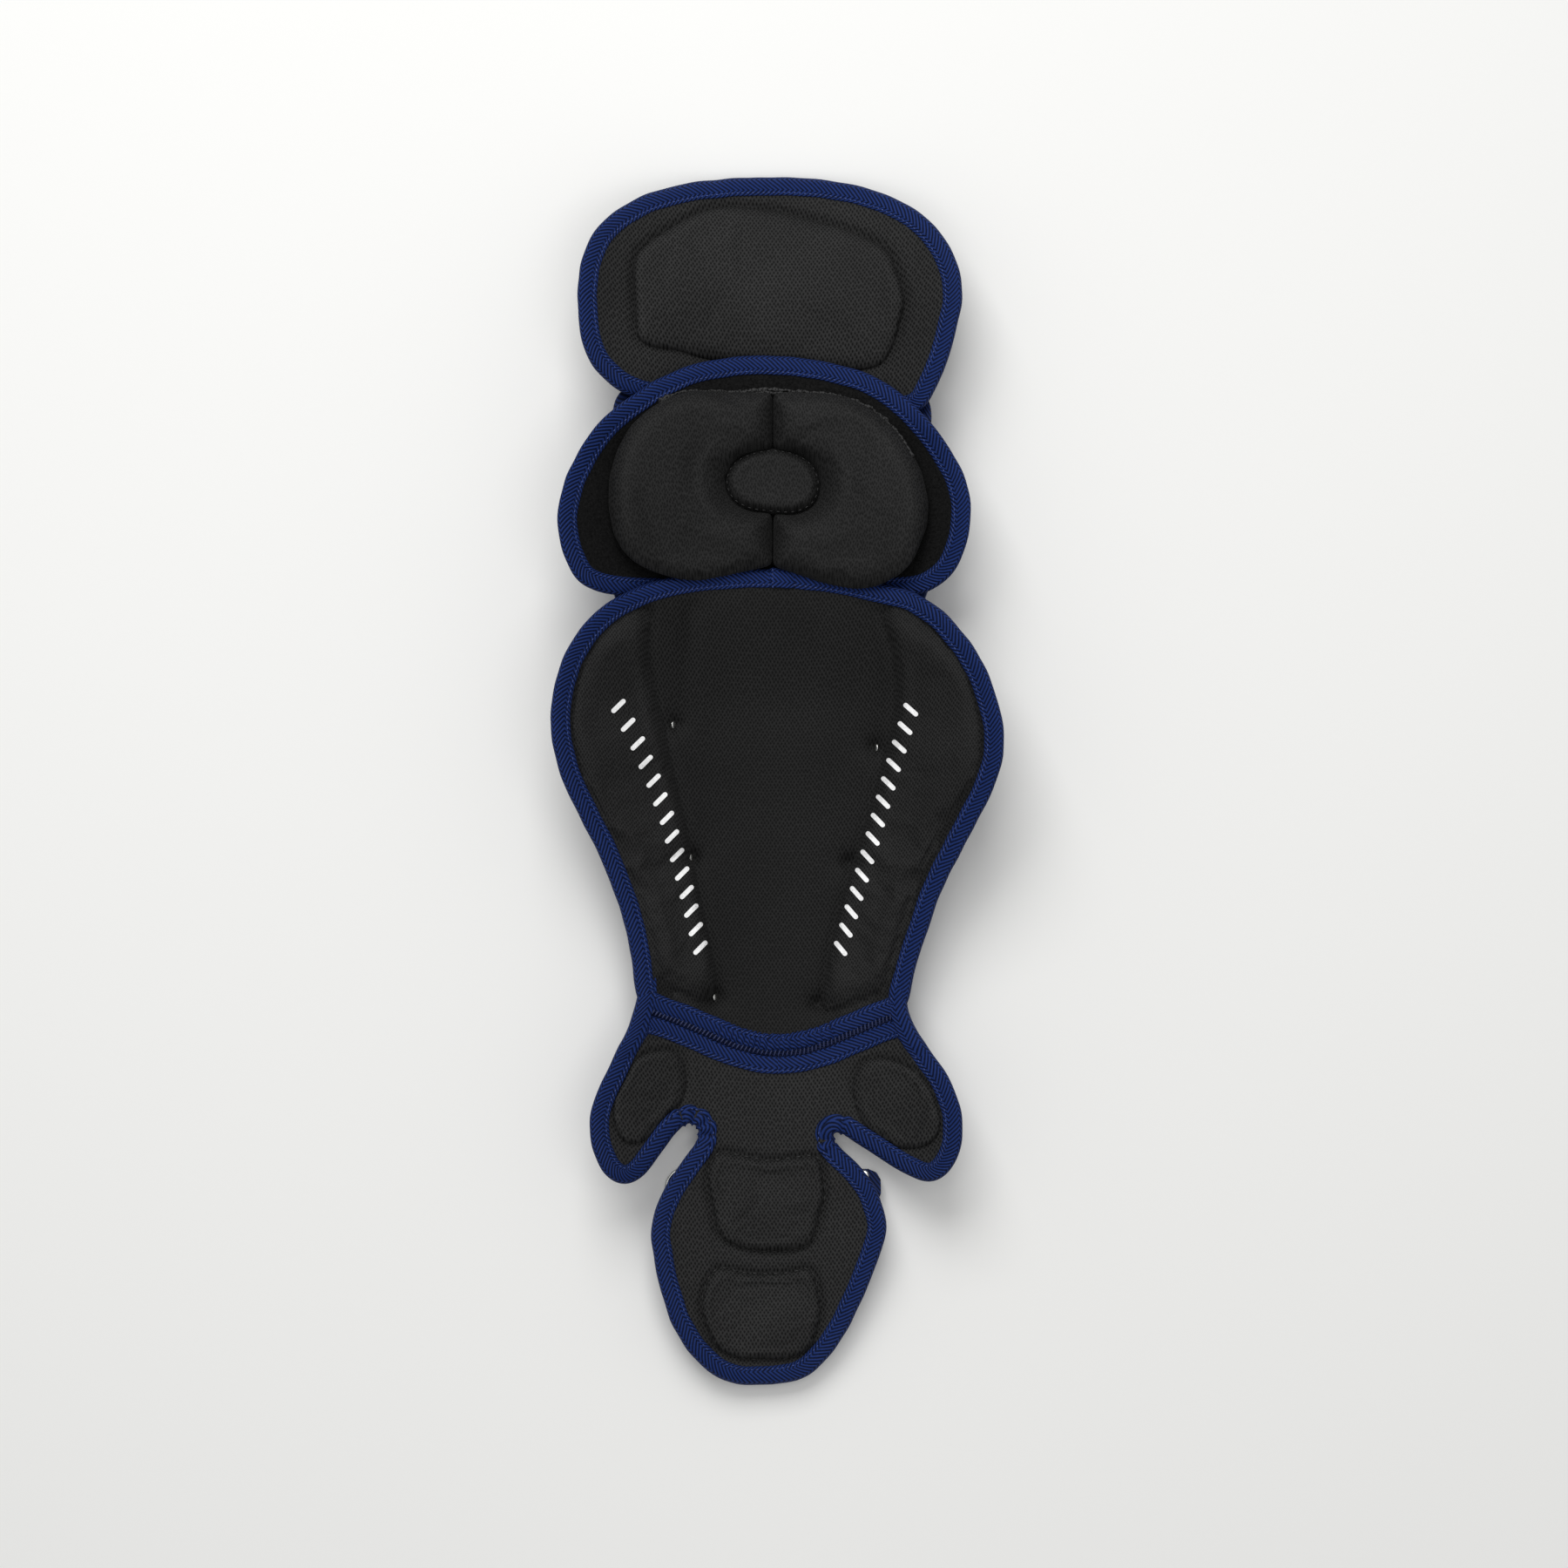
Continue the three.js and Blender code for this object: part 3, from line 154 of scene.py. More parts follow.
def net_inside(loop, step, rings, fine=()):
    """Points and triangles that fill a loop: rings near its edge, an even net further in, and
    small rings round the places in fine."""
    into, sets = inward(loop), [loop]
    for depth in rings:
        ring = loop + into * depth
        sets.append(ring[edge_distance(ring, loop) > 0.93 * depth])
    low, high = loop.min(0), loop.max(0)
    rows = np.arange(low[1], high[1], step * 0.866)
    across = np.arange(low[0], high[0], step)
    field = np.array([(x + (i % 2) * step / 2, y) for i, y in enumerate(rows) for x in across])
    depth = edge_distance(field, loop)
    keep = depth > (rings[-1] if rings else 0) + 0.6 * step
    for spot in fine:
        keep &= np.hypot(*(field - spot).T) > 7.2
        for radius in (0.001, 0.9, 1.8, 2.7, 3.6, 4.5, 5.5, 6.6):
            around = round(2 * math.pi * radius / FINE_STEP) + 1
            turns = np.arange(0, 2 * math.pi, FINE_STEP / max(radius, 0.15))[:around]
            ring = spot + radius * np.c_[np.cos(turns), np.sin(turns)]
            sets.append(ring[edge_distance(ring, loop) > (rings[-1] if rings else 0) + 0.5])
    sets.append(field[keep])
    points, count = np.vstack(sets), len(loop)
    edges = [(i, (i + 1) % count) for i in range(count)]
    flat = delaunay_2d_cdt([Vector(p) for p in points], edges, [], 1, 1e-7)
    return np.array([v[:] for v in flat[0]]), flat[2], len(loop)


def laid_out(name, data):
    """Puts a mesh, a lamp or a camera in the scene under its name."""
    piece = bpy.data.objects.new(name, data)
    bpy.context.scene.collection.objects.link(piece)
    return piece


def body_from(name, points, triangles, rim, top, bottom):
    """One closed body from a net, with an upper and a lower height for each of its points."""
    inner = np.arange(rim, len(points))
    lower = np.arange(len(points))
    lower[inner] = len(points) + np.arange(len(inner))
    coordinates = np.vstack([np.c_[points, top], np.c_[points[inner], bottom[inner]]])
    faces = [tuple(t) for t in triangles] + [tuple(int(lower[i]) for i in reversed(t)) for t in triangles]
    mesh = bpy.data.meshes.new(name)
    mesh.from_pydata((coordinates / 1000).tolist(), [], faces)
    mesh.shade_smooth()
    return laid_out(name, mesh)


def slab(name, loop, low, thickness, edge_radius, step, rings, relief=None, under=None, fine=()):
    """A layer of even thickness with a rounded edge. relief lifts its face, under its back."""
    points, triangles, rim = net_inside(loop, step, rings, fine)
    depth = np.maximum(0, edge_distance(points, loop))
    depth[:rim] = 0
    swell = np.sqrt(1 - (1 - np.minimum(depth / edge_radius, 1)) ** 2) * thickness / 2
    base = low(points[:, 0], points[:, 1])
    top = base + thickness / 2 + swell
    bottom = base + thickness / 2 - swell
    if relief is not None:
        top = top + relief(points, depth) * np.minimum(1, depth / edge_radius)
    if under is not None:
        bottom = bottom + under(points, depth) * np.minimum(1, depth / edge_radius)
    return body_from(name, points, triangles, rim, top, bottom)


def linear(hex_colour):
    """An sRGB hex colour as the linear values that a shader takes."""
    parts = [int(hex_colour[i:i + 2], 16) / 255 for i in (1, 3, 5)]
    return (*(c / 12.92 if c <= 0.04045 else ((c + 0.055) / 1.055) ** 2.4 for c in parts), 1)


def add_node(tree, kind, inputs=(), **settings):
    """Adds a node with its settings, and gives its inputs values or links."""
    node = tree.nodes.new(kind)
    for name, value in settings.items():
        setattr(node, name, value)
    for key, value in dict(inputs).items():
        if isinstance(value, bpy.types.NodeSocket):
            tree.links.new(value, node.inputs[key])
        else:
            node.inputs[key].default_value = value
    return node


def finish_of(name, **surface):
    """A new material, with the constants of its surface on the shader's own sockets."""
    material = bpy.data.materials.new(name)
    material.use_nodes = True
    tree = material.node_tree
    shader = tree.nodes["Principled BSDF"]
    for socket, value in surface.items():
        shader.inputs[socket.replace("_", " ")].default_value = value
    return material, tree, shader


def ramp(tree, factor, stops):
    """A colour that follows a value, from hex colours at places between 0 and 1."""
    node = add_node(tree, "ShaderNodeValToRGB", {0: factor})
    for i, (place, shade) in enumerate(stops):
        stop = node.color_ramp.elements[i] if i < 2 else node.color_ramp.elements.new(place)
        stop.position, stop.color = place, linear(shade)
    return node.outputs[0]


def mottled(name, scale, detail, stops, **surface):
    """A finish whose colour drifts between hex colours with a noise. Gives the coordinates and
    the noise as well."""
    material, tree, shader = finish_of(name, **surface)
    place = add_node(tree, "ShaderNodeTexCoord").outputs["Object"]
    drift = add_node(tree, "ShaderNodeTexNoise", {"Vector": place, "Scale": scale, "Detail": detail})
    tree.links.new(ramp(tree, drift.outputs[0], stops), shader.inputs["Base Color"])
    return material, tree, shader, place, drift


def settle(piece, material, slot, *nodes):
    """Gives a piece its material and its place in the frame."""
    if material is not None:
        piece.data.materials.clear()
        piece.data.materials.append(material)
    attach(piece, "root")
    if nodes:
        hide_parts(*nodes)
    return piece


# Moulded nylon: a fine grain breaks up a soft gloss, and rubbing has dulled patches of it.
# The grain is 0.8 mm across, and the worn patches 22 mm.
moulded, tree, shader, place, wear = mottled("moulded_navy_nylon", 45.0, 6.0,
                                             [(0.3, "#16234a"), (0.7, "#1d2d5a")], IOR=1.53)
grain = add_node(tree, "ShaderNodeTexVoronoi", {"Vector": place, "Scale": 1250.0})
rough = add_node(tree, "ShaderNodeMapRange", {0: wear.outputs[0], 1: 0.35, 2: 0.7, 3: 0.36, 4: 0.55})
tree.links.new(rough.outputs[0], shader.inputs["Roughness"])
bump = add_node(tree, "ShaderNodeBump", {"Strength": 0.25, "Distance": 0.0002, "Height": grain.outputs[0]})
tree.links.new(bump.outputs[0], shader.inputs["Normal"])


def raised_field(middle, half, stand):
    """The smooth swelling down the middle of a shell's outside, which rests on the ground."""
    def lift(points, depth):
        reach = np.abs((points - middle) / half)
        off = (reach[:, 0] ** 3 + reach[:, 1] ** 3) ** (1 / 3)
        share = np.clip((off - 0.86) / 0.16, 0, 1)
        return -stand * (1 - share ** 2 * (3 - 2 * share))
    return lift


# Each shell: how much its outline is smoothed, its underside, and the middle and the half
# width and length of its raised field, in mm.
SHELLS = {"shin_shell": (3, layer((0, 6.35), (265, 6.35), (303, 3)), (0, -20.5), (38.8, 80.2)),
          "knee_shell": (3, layer((0, 3)), (0, 157.2), (52, 49.5)),
          "foot_shell": (2.5, layer((0, 3)), (-5.2, -283.3), (38.5, 32.7))}
SHELL_WALL = 3
FIELD_STANDS = 2.9
for node, (reach, low, middle, half) in SHELLS.items():
    shell = slab(node + "_moulded", edge_of(node, reach), low, SHELL_WALL, SHELL_WALL / 2, 3,
                 (0.3, 0.8, 1.5), under=raised_field(middle, half, FIELD_STANDS))
    settle(shell, moulded, "navy_shell", node)

# The shin liner is the long padded channel that the shin lies in: 8 mm of foam
# between two faces of warp-knitted polyester mesh, sewn together only at their edge.
# Soft folds run down from its upper corners, and each rivet pulls a dimple in it.
SHIN_LOW = layer((0, 19.55), (247, 19.55), (303, 6.35))
SHIN_FOAM = 8
# Upright folds at the channel's head: the place of each end in mm, and its depth.
SHIN_FOLDS = [((-74, 96), (-62, 30), 1.6, 5), ((-49, 98), (-54, 36), 2.4, 6), ((86, 92), (64, 20), 1.0, 6),
              ((56, 96), (52, 42), 1.4, 7)]
LINER_RIVETS = ["liner_rivet_left_1", "liner_rivet_left_2", "liner_rivet_left_3",
                "liner_rivet_right_1", "liner_rivet_right_2", "liner_rivet_right_3"]
rivet_spots = np.array([[(a + b) * 500 for a, b in zip(*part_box(n))][:2] for n in LINER_RIVETS])
side_pad_edges = {side: edge_of("shin_side_pad_" + side, 3) for side in ("left", "right")}


def segment_distance(points, a, b):
    a, b = np.array(a, float), np.array(b, float)
    share = np.clip(((points - a) @ (b - a)) / ((b - a) @ (b - a)), 0, 1)
    return np.hypot(*(points - a - share[:, None] * (b - a)).T), share


def shin_relief(points, depth):
    lift = np.zeros(len(points))
    for a, b, deep, wide in SHIN_FOLDS:
        gap, share = segment_distance(points, a, b)
        lift -= deep * np.exp(-(gap / wide) ** 2) * (1 - share)
    for spot in rivet_spots:
        gap = np.hypot(*(points - spot).T)
        lift -= 2.6 * np.exp(-(gap / 9) ** 2) + 3.6 * np.exp(-(gap / 4.2) ** 2)
    for loop in side_pad_edges.values():
        lift -= 2.0 * np.exp(-(edge_distance(points, loop) / 2.4) ** 2)
    return lift


def mesh_cloth(name, dark, light, pitch, depth, randomness=0.25, stretch=1.4, sheen=0.02, sweep=22.0):
    """Warp-knit mesh: staggered holes between glossy filament, with a slow drift of tone."""
    material, tree, shader = finish_of(name, Roughness=0.7, Sheen_Weight=sheen, Sheen_Roughness=0.4,
                                       Specular_IOR_Level=0.12)
    place = add_node(tree, "ShaderNodeTexCoord").outputs["Object"]
    tilt = add_node(tree, "ShaderNodeMapping", {"Vector": place, "Rotation": (0.5, 0, 0)})
    turn = add_node(tree, "ShaderNodeMapping", {"Vector": tilt.outputs[0], "Scale": (1, 1 / stretch, 1),
                                               "Rotation": (0, 0, math.radians(45))})
    holes = add_node(tree, "ShaderNodeTexVoronoi", {"Vector": turn.outputs[0], "Scale": 1000 / pitch,
                                                   "Randomness": randomness}, voronoi_dimensions="2D")
    drift = add_node(tree, "ShaderNodeTexNoise", {"Vector": place, "Scale": sweep, "Detail": 4.0})
    fibre = add_node(tree, "ShaderNodeTexNoise", {"Vector": place, "Scale": 1400.0, "Detail": 2.0})
    thread = ramp(tree, holes.outputs[0], [(0.12, dark), (0.5, light)])
    tone = add_node(tree, "ShaderNodeMapRange", {0: drift.outputs[0], 1: 0.3, 2: 0.7, 3: 0.86, 4: 1.12})
    fuzz = add_node(tree, "ShaderNodeMapRange", {0: fibre.outputs[0], 1: 0.3, 2: 0.7, 3: 0.75, 4: 1.25})
    both = add_node(tree, "ShaderNodeMath", {0: tone.outputs[0], 1: fuzz.outputs[0]}, operation="MULTIPLY")
    shade = add_node(tree, "ShaderNodeVectorMath", {0: thread, "Scale": both.outputs[0]}, operation="SCALE")
    tree.links.new(shade.outputs[0], shader.inputs["Base Color"])
    bump = add_node(tree, "ShaderNodeBump", {"Strength": 0.6, "Distance": depth,
                                             "Height": holes.outputs[0]})
    tree.links.new(bump.outputs[0], shader.inputs["Normal"])
    return material


# Black spacer mesh: dark pin holes make it read as woven. Real ones are 1.3 mm apart, and
# are drawn at 1.5 mm so that they show from a few metres.
liner_mesh = mesh_cloth("black_spacer_mesh", "#050505", "#212121", 1.5, 0.0006)
shin_edge = edge_of("shin_liner", 3)
shin_liner = slab("shin_liner_padded", shin_edge, SHIN_LOW, SHIN_FOAM, 4, 2.2, (0.6, 1.8, 3.5),
                  relief=shin_relief, fine=rivet_spots)
settle(shin_liner, liner_mesh, "black_mesh", "shin_liner")

# Two side pads thicken the shin liner beside the channel. Each is a tapering leaf of
# foam under the same mesh, stitched in under the binding and riveted along its inner edge.
SIDE_RISE = 6


def pad_on(name, loop, base, rise, shoulder, crown=0.0, step=3.2, rings=(0.5, 1.4, 2.8), sunk=0.6,
           tucked=None):
    """A pad that swells from a stitched edge on a face, ready to be blown up. Where tucked marks
    the edge, the pad goes in under a binding and rises from it slowly."""
    points, triangles, rim = net_inside(loop, step, rings)
    depth = np.maximum(0, edge_distance(points, loop))
    depth[:rim] = 0
    floor = base(points[:, 0], points[:, 1]) - sunk
    share = np.sqrt(1 - (1 - np.minimum(depth / shoulder, 1)) ** 2)
    if tucked is not None:
        near, away = (np.hypot(*np.moveaxis(points[:, None] - loop[marked], 2, 0)).min(1)
                      for marked in (tucked, ~tucked))
        slow, fast = np.minimum(near / 17, 1), np.minimum(away / shoulder, 1)
        share = np.minimum(slow ** 2 * (3 - 2 * slow), np.sqrt(1 - (1 - fast) ** 2))
    most = max(depth.max(), 1)
    height = rise(points[:, 0], points[:, 1]) if callable(rise) else rise
    top = floor + (height + sunk) * share + crown * np.sin(np.minimum(depth / most, 1) * math.pi / 2)
    piece = body_from(name, points, triangles, rim, top, floor)
    piece["rim"] = rim
    piece["count"] = len(points)
    return piece


def as_plain(piece):
    """Keeps what a piece's modifiers make as its plain mesh."""
    made = bpy.data.meshes.new_from_object(piece.evaluated_get(bpy.context.evaluated_depsgraph_get()))
    piece.modifiers.clear()
    piece.data = made
    made.shade_smooth()
    return piece


def blow_up(piece, most, slack=0.02, pressure=4.0):
    """Lets the foam fill a pad's cloth. Its edge and back are held, and no point moves far."""
    mesh = piece.data
    before = np.array([v.co[:] for v in mesh.vertices])
    held = piece.vertex_groups.new(name="held")
    held.add(list(range(piece["rim"])) + list(range(piece["count"], len(mesh.vertices))), 1.0,
             "REPLACE")
    filling = piece.modifiers.new("filling", "CLOTH")
    cloth = filling.settings
    cloth.quality = 5
    cloth.mass = 0.2
    cloth.use_pressure = True
    cloth.uniform_pressure_force = pressure
    cloth.vertex_group_mass = "held"
    cloth.pin_stiffness = 1.0
    cloth.shrink_min = -slack
    cloth.bending_stiffness = 0.4
    cloth.effector_weights.gravity = 0
    filling.collision_settings.use_collision = False
    filling.collision_settings.use_self_collision = False
    for step in range(1, 21):
        bpy.context.scene.frame_set(step)
    shown = piece.evaluated_get(bpy.context.evaluated_depsgraph_get()).data
    after = np.array([v.co[:] for v in shown.vertices])
    piece.modifiers.remove(filling)
    bpy.context.scene.frame_set(1)
    move = after - before
    far = np.linalg.norm(move, axis=1)[:, None]
    before += move * np.minimum(1, most / 1000 / np.maximum(far, 1e-9))
    mesh.vertices.foreach_set("co", before.ravel())
    piece.vertex_groups.clear()
    finer = piece.modifiers.new("finer", "SUBSURF")
    finer.levels = finer.render_levels = 1
    for key in ("rim", "count"):
        del piece[key]
    return as_plain(piece)


def press(piece, lift):
    """Moves a pad's points up or down by what lift says, in millimetres, for seams and dimples."""
    spots = np.array([v.co[:] for v in piece.data.vertices]) * 1000
    spots[:, 2] += lift(spots)
    piece.data.vertices.foreach_set("co", (spots / 1000).ravel())
    piece.data.update()
    return piece


def rivet_pull(spots):
    """How far the rivets draw a side pad down beside them."""
    near = np.min([np.hypot(*(spots[:, :2] - rivet).T) for rivet in rivet_spots], axis=0)
    return -2.4 * np.exp(-(near / 6) ** 2)


def shin_face(x, y):
    return SHIN_LOW(x, y) + SHIN_FOAM + shin_relief(np.c_[x, y], None)


# The pads' mesh is finer: the same black yarn in smaller loops, pulled tight over the foam.
pad_mesh = mesh_cloth("black_tight_mesh", "#0a0a0a", "#282828", 1.3, 0.0005)
for side in ("left", "right"):
    node = "shin_side_pad_" + side
    pad_edge = side_pad_edges[side]
    tucked = edge_distance(pad_edge, shin_edge) < 14
    pad_edge = rounded(pad_edge - inward(pad_edge, 3) * np.where(tucked, 4.5, 0)[:, None], 2.5)
    pad = pad_on(node + "_padded", pad_edge, shin_face, SIDE_RISE, 6, step=2.9, tucked=tucked)
    blow_up(pad, 3, 0.02, 2.0)
    press(pad, rivet_pull)
    settle(pad, pad_mesh, "black_mesh", node)

# White slashes run down each side pad. They are screen-printed in thick plastisol ink,
# which stands a hair above the cloth, and lean the opposite way on the other side.
# Each row: places along it in mm, and the first and last slash's lean in degrees.
SLASH_ROWS = {
    "left": ([(-90.8, 42.8), (-79.8, 21.3), (-70.8, -0.2), (-63.3, -21.3), (-54.8, -52.8), (-44.3, -95.8)],
             45, 45),
    "right": ([(76.3, 40.8), (66.3, 8.3), (54.3, -34.3), (36.3, -96.3)], -42, -51),
}
SLASHES = 14


def tree_of(name, start, sizes, others, end):
    """A tree of geometry nodes with its named inputs, and those inputs as a node gives them:
    the geometry to start from, sizes with their usual values, and other things by kind."""
    group = bpy.data.node_groups.new(name, "GeometryNodeTree")
    group.interface.new_socket(start, in_out="INPUT", socket_type="NodeSocketGeometry")
    for size, value in sizes.items():
        socket = group.interface.new_socket(size, in_out="INPUT", socket_type="NodeSocketFloat")
        socket.default_value = value
    for other, kind in others.items():
        group.interface.new_socket(other, in_out="INPUT", socket_type="NodeSocket" + kind)
    group.interface.new_socket(end, in_out="OUTPUT", socket_type="NodeSocketGeometry")
    return group, add_node(group, "NodeGroupInput").outputs


def end_tree(group, shape, material):
    """Gives a tree's real geometry its material and sends it out."""
    done = add_node(group, "GeometryNodeSetMaterial", {0: shape, "Material": material})
    add_node(group, "NodeGroupOutput", {0: done.outputs[0]})
    return group


def slash_tree():
    """Geometry nodes that lay a leaning round-ended bar at each point, down on the cloth."""
    sizes = {"Length": 0.0104, "Width": 0.0027, "Thickness": 0.0006, "First Lean": 0.8, "Last Lean": 0.8,
             "Count": 14.0}
    group, given = tree_of("printed_slashes", "Points", sizes, {"Cloth": "Object", "Ink": "Material"},
                           "Slashes")
    box = add_node(group, "GeometryNodeCurvePrimitiveQuadrilateral",
                   {"Width": given["Length"], "Height": given["Width"]})
    bow = add_node(group, "ShaderNodeMath", {0: given["Width"], 1: 0.49}, operation="MULTIPLY")
    ends = add_node(group, "GeometryNodeFilletCurve",
                    {0: box.outputs[0], "Radius": bow.outputs[0], "Count": 3}, mode="POLY")
    face = add_node(group, "GeometryNodeFillCurve", {0: ends.outputs[0]}, mode="NGONS")
    finer = add_node(group, "GeometryNodeSubdivideMesh", {0: face.outputs[0], "Level": 2})
    raised = add_node(group, "GeometryNodeExtrudeMesh",
                      {0: finer.outputs[0], "Offset Scale": given["Thickness"], "Individual": False})
    back = add_node(group, "GeometryNodeFlipFaces", {0: finer.outputs[0]})
    whole = add_node(group, "GeometryNodeJoinGeometry")
    group.links.new(raised.outputs[0], whole.inputs[0])
    group.links.new(back.outputs[0], whole.inputs[0])
    shut = add_node(group, "GeometryNodeMergeByDistance", {0: whole.outputs[0], "Distance": 0.00001})
    number = add_node(group, "GeometryNodeInputIndex")
    lean = add_node(group, "ShaderNodeMapRange", {0: number.outputs[0], 2: given["Count"],
                                                  3: given["First Lean"], 4: given["Last Lean"]})
    turn = add_node(group, "ShaderNodeCombineXYZ", {2: lean.outputs[0]})
    laid = add_node(group, "GeometryNodeInstanceOnPoints",
                    {"Points": given["Points"], "Instance": shut.outputs[0], "Rotation": turn.outputs[0]})
    real = add_node(group, "GeometryNodeRealizeInstances", {0: laid.outputs[0]})
    spot = add_node(group, "GeometryNodeInputPosition")
    above = add_node(group, "ShaderNodeVectorMath", {0: spot.outputs[0], 1: (0, 0, 1)}, operation="ADD")
    cloth = add_node(group, "GeometryNodeObjectInfo", {0: given["Cloth"]})
    below = add_node(group, "GeometryNodeRaycast", {"Target Geometry": cloth.outputs["Geometry"],
                                                   "Source Position": above.outputs[0],
                                                   "Ray Direction": (0, 0, -1), "Ray Length": 2.0})
    lift = add_node(group, "ShaderNodeSeparateXYZ", {0: below.outputs["Hit Position"]})
    up = add_node(group, "ShaderNodeMath", {0: lift.outputs[2], 1: -0.00005}, operation="ADD")
    move = add_node(group, "ShaderNodeCombineXYZ", {2: up.outputs[0]})
    down = add_node(group, "GeometryNodeSetPosition", {0: real.outputs[0], "Offset": move.outputs[0]})
    return end_tree(group, down.outputs[0], given["Ink"])


def grown(piece, group, **values):
    """Runs geometry nodes on a piece, with their inputs by name."""
    growing = piece.modifiers.new("growing", "NODES")
    growing.node_group = group
    sockets = {s.name: s.identifier for s in group.interface.items_tree if s.item_type == "SOCKET"}
    for name, value in values.items():
        growing[sockets[name.replace("_", " ")]] = value
    piece.data.update()
    return as_plain(piece)


def points_piece(name, spots, edges=()):
    """A piece of bare points, in millimetres, for geometry nodes to build on."""
    mesh = bpy.data.meshes.new(name)
    mesh.from_pydata((np.asarray(spots) / 1000).tolist(), list(edges), [])
    return laid_out(name, mesh)


# Plastisol ink: chalky white, slightly glossy, and a little broken by the mesh below.
ink = mottled("white_plastisol_ink", 800.0, 2.0, [(0.2, "#e2e2e0"), (0.5, "#ffffff")], Roughness=0.5)[0]
slash_nodes = slash_tree()
for side, (places, first, last) in SLASH_ROWS.items():
    x, y = np.array(places)[::-1].T
    down = np.linspace(y[-1], y[0], SLASHES)
    row = np.c_[np.interp(down, y, x), down, np.zeros(SLASHES)]
    print_row = points_piece("side_pad_slashes_" + side, row)
    grown(print_row, slash_nodes, Cloth=bpy.data.objects["shin_side_pad_" + side + "_padded"], Ink=ink,
          First_Lean=math.radians(first), Last_Lean=math.radians(last))
    print_row.data.shade_flat()
    settle(print_row, None, "black_mesh")

# Six rivets hold the liner to its shell at the inner edges of the side pads. Each has a
# domed nickel-plated steel head on both faces, drawn down into a dimple in the foam.
# The knee shell's two rivets and the foot strap's one are the same.
# Nickel plate: a bright mirror that handling has clouded in soft patches.
nickel, tree, shader, place, cloud = mottled("nickel_plated_steel", 300.0, 4.0,
                                             [(0.3, "#a9aaa8"), (0.7, "#d8d8d4")], Metallic=1.0)
rough = add_node(tree, "ShaderNodeMapRange", {0: cloud.outputs[0], 3: 0.16, 4: 0.34})
tree.links.new(rough.outputs[0], shader.inputs["Roughness"])


def rivet_tree():
    """Geometry nodes that set a domed head at each point, square to the slope it lies on."""
    group, given = tree_of("domed_rivets", "Points", {"Radius": 0.0034, "Rise": 0.0014},
                           {"Metal": "Material"}, "Rivets")
    dome = add_node(group, "GeometryNodeMeshUVSphere", {"Segments": 20, "Rings": 10, "Radius": 1.0})
    size = add_node(group, "ShaderNodeCombineXYZ",
                    {0: given["Radius"], 1: given["Radius"], 2: given["Rise"]})
    head = add_node(group, "GeometryNodeTransform", {0: dome.outputs[0], "Scale": size.outputs[0]})
    slope = add_node(group, "GeometryNodeInputNamedAttribute", {"Name": "square_to"},
                     data_type="FLOAT_VECTOR")
    turn = add_node(group, "FunctionNodeAlignRotationToVector", {"Vector": slope.outputs[0]}, axis="Z")
    laid = add_node(group, "GeometryNodeInstanceOnPoints",
                    {"Points": given["Points"], "Instance": head.outputs[0], "Rotation": turn.outputs[0]})
    real = add_node(group, "GeometryNodeRealizeInstances", {0: laid.outputs[0]})
    return end_tree(group, real.outputs[0], given["Metal"])


rivet_nodes = rivet_tree()
# How far out and up from its dimple each upper head lies, in mm. The last two are out of sight.
HEAD_PLACES = dict(zip(LINER_RIVETS, ((0.9, 1.3), (0.5, 1.5), (0.3, 1.3), (0.9, 1.3), (3.2, -2), (3.2, -2))))


def rivets(name, nodes, cloth=None, **sizes):
    """Domed heads at both ends of each packed rivet. Where cloth gives the height of the cloth,
    the upper head leans on the outer wall of its dimple, half under the side pad's edge."""
    spots, slopes = [], []
    for node in nodes:
        low, high = (np.array(c) * 1000 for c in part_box(node))
        middle = (low + high) / 2
        aside = max(0, abs(middle[0]) - FLAT_HALF) * np.sign(middle[0])
        slope = np.array([-2 * CURVE_RISE / CURVE_HALF ** 2 * aside, 0, 1])
        slope /= np.linalg.norm(slope)
        half = (high[2] - low[2]) / 2 - 3.5 * abs(slope[0]) - 1.0
        spots += [middle + slope * half, middle - slope * half]
        slopes += [slope, -slope]
        if cloth is not None:
            outward, (shift, rise) = np.sign(middle[0]), HEAD_PLACES[node]
            spots[-2] = middle + (shift * outward, 0, 0)
            spots[-2][2] = cloth(middle[:1], middle[1:2])[0] + rise
            slopes[-2] = np.array([-0.85 * outward, 0, 0.53])
    piece = points_piece(name, spots)
    kept = piece.data.attributes.new("square_to", "FLOAT_VECTOR", "POINT")
    kept.data.foreach_set("vector", np.ravel(slopes))
    grown(piece, rivet_nodes, Metal=nickel, **sizes)
    return settle(piece, None, "steel", *nodes)


rivets("liner_rivets", LINER_RIVETS, shin_face, Radius=0.0026, Rise=0.0009)
rivets("knee_shell_rivets", ["knee_rivet_left", "knee_rivet_right"])
rivets("foot_strap_rivets", ["foot_strap_rivet"])

# Every panel's edge is bound with navy herringbone twill tape, folded over the edge so
# that 11 mm shows on each face, and sewn down near its inner edge with navy thread.
TAPE_SHOWS = 11
TAPE_STANDS = 1.5


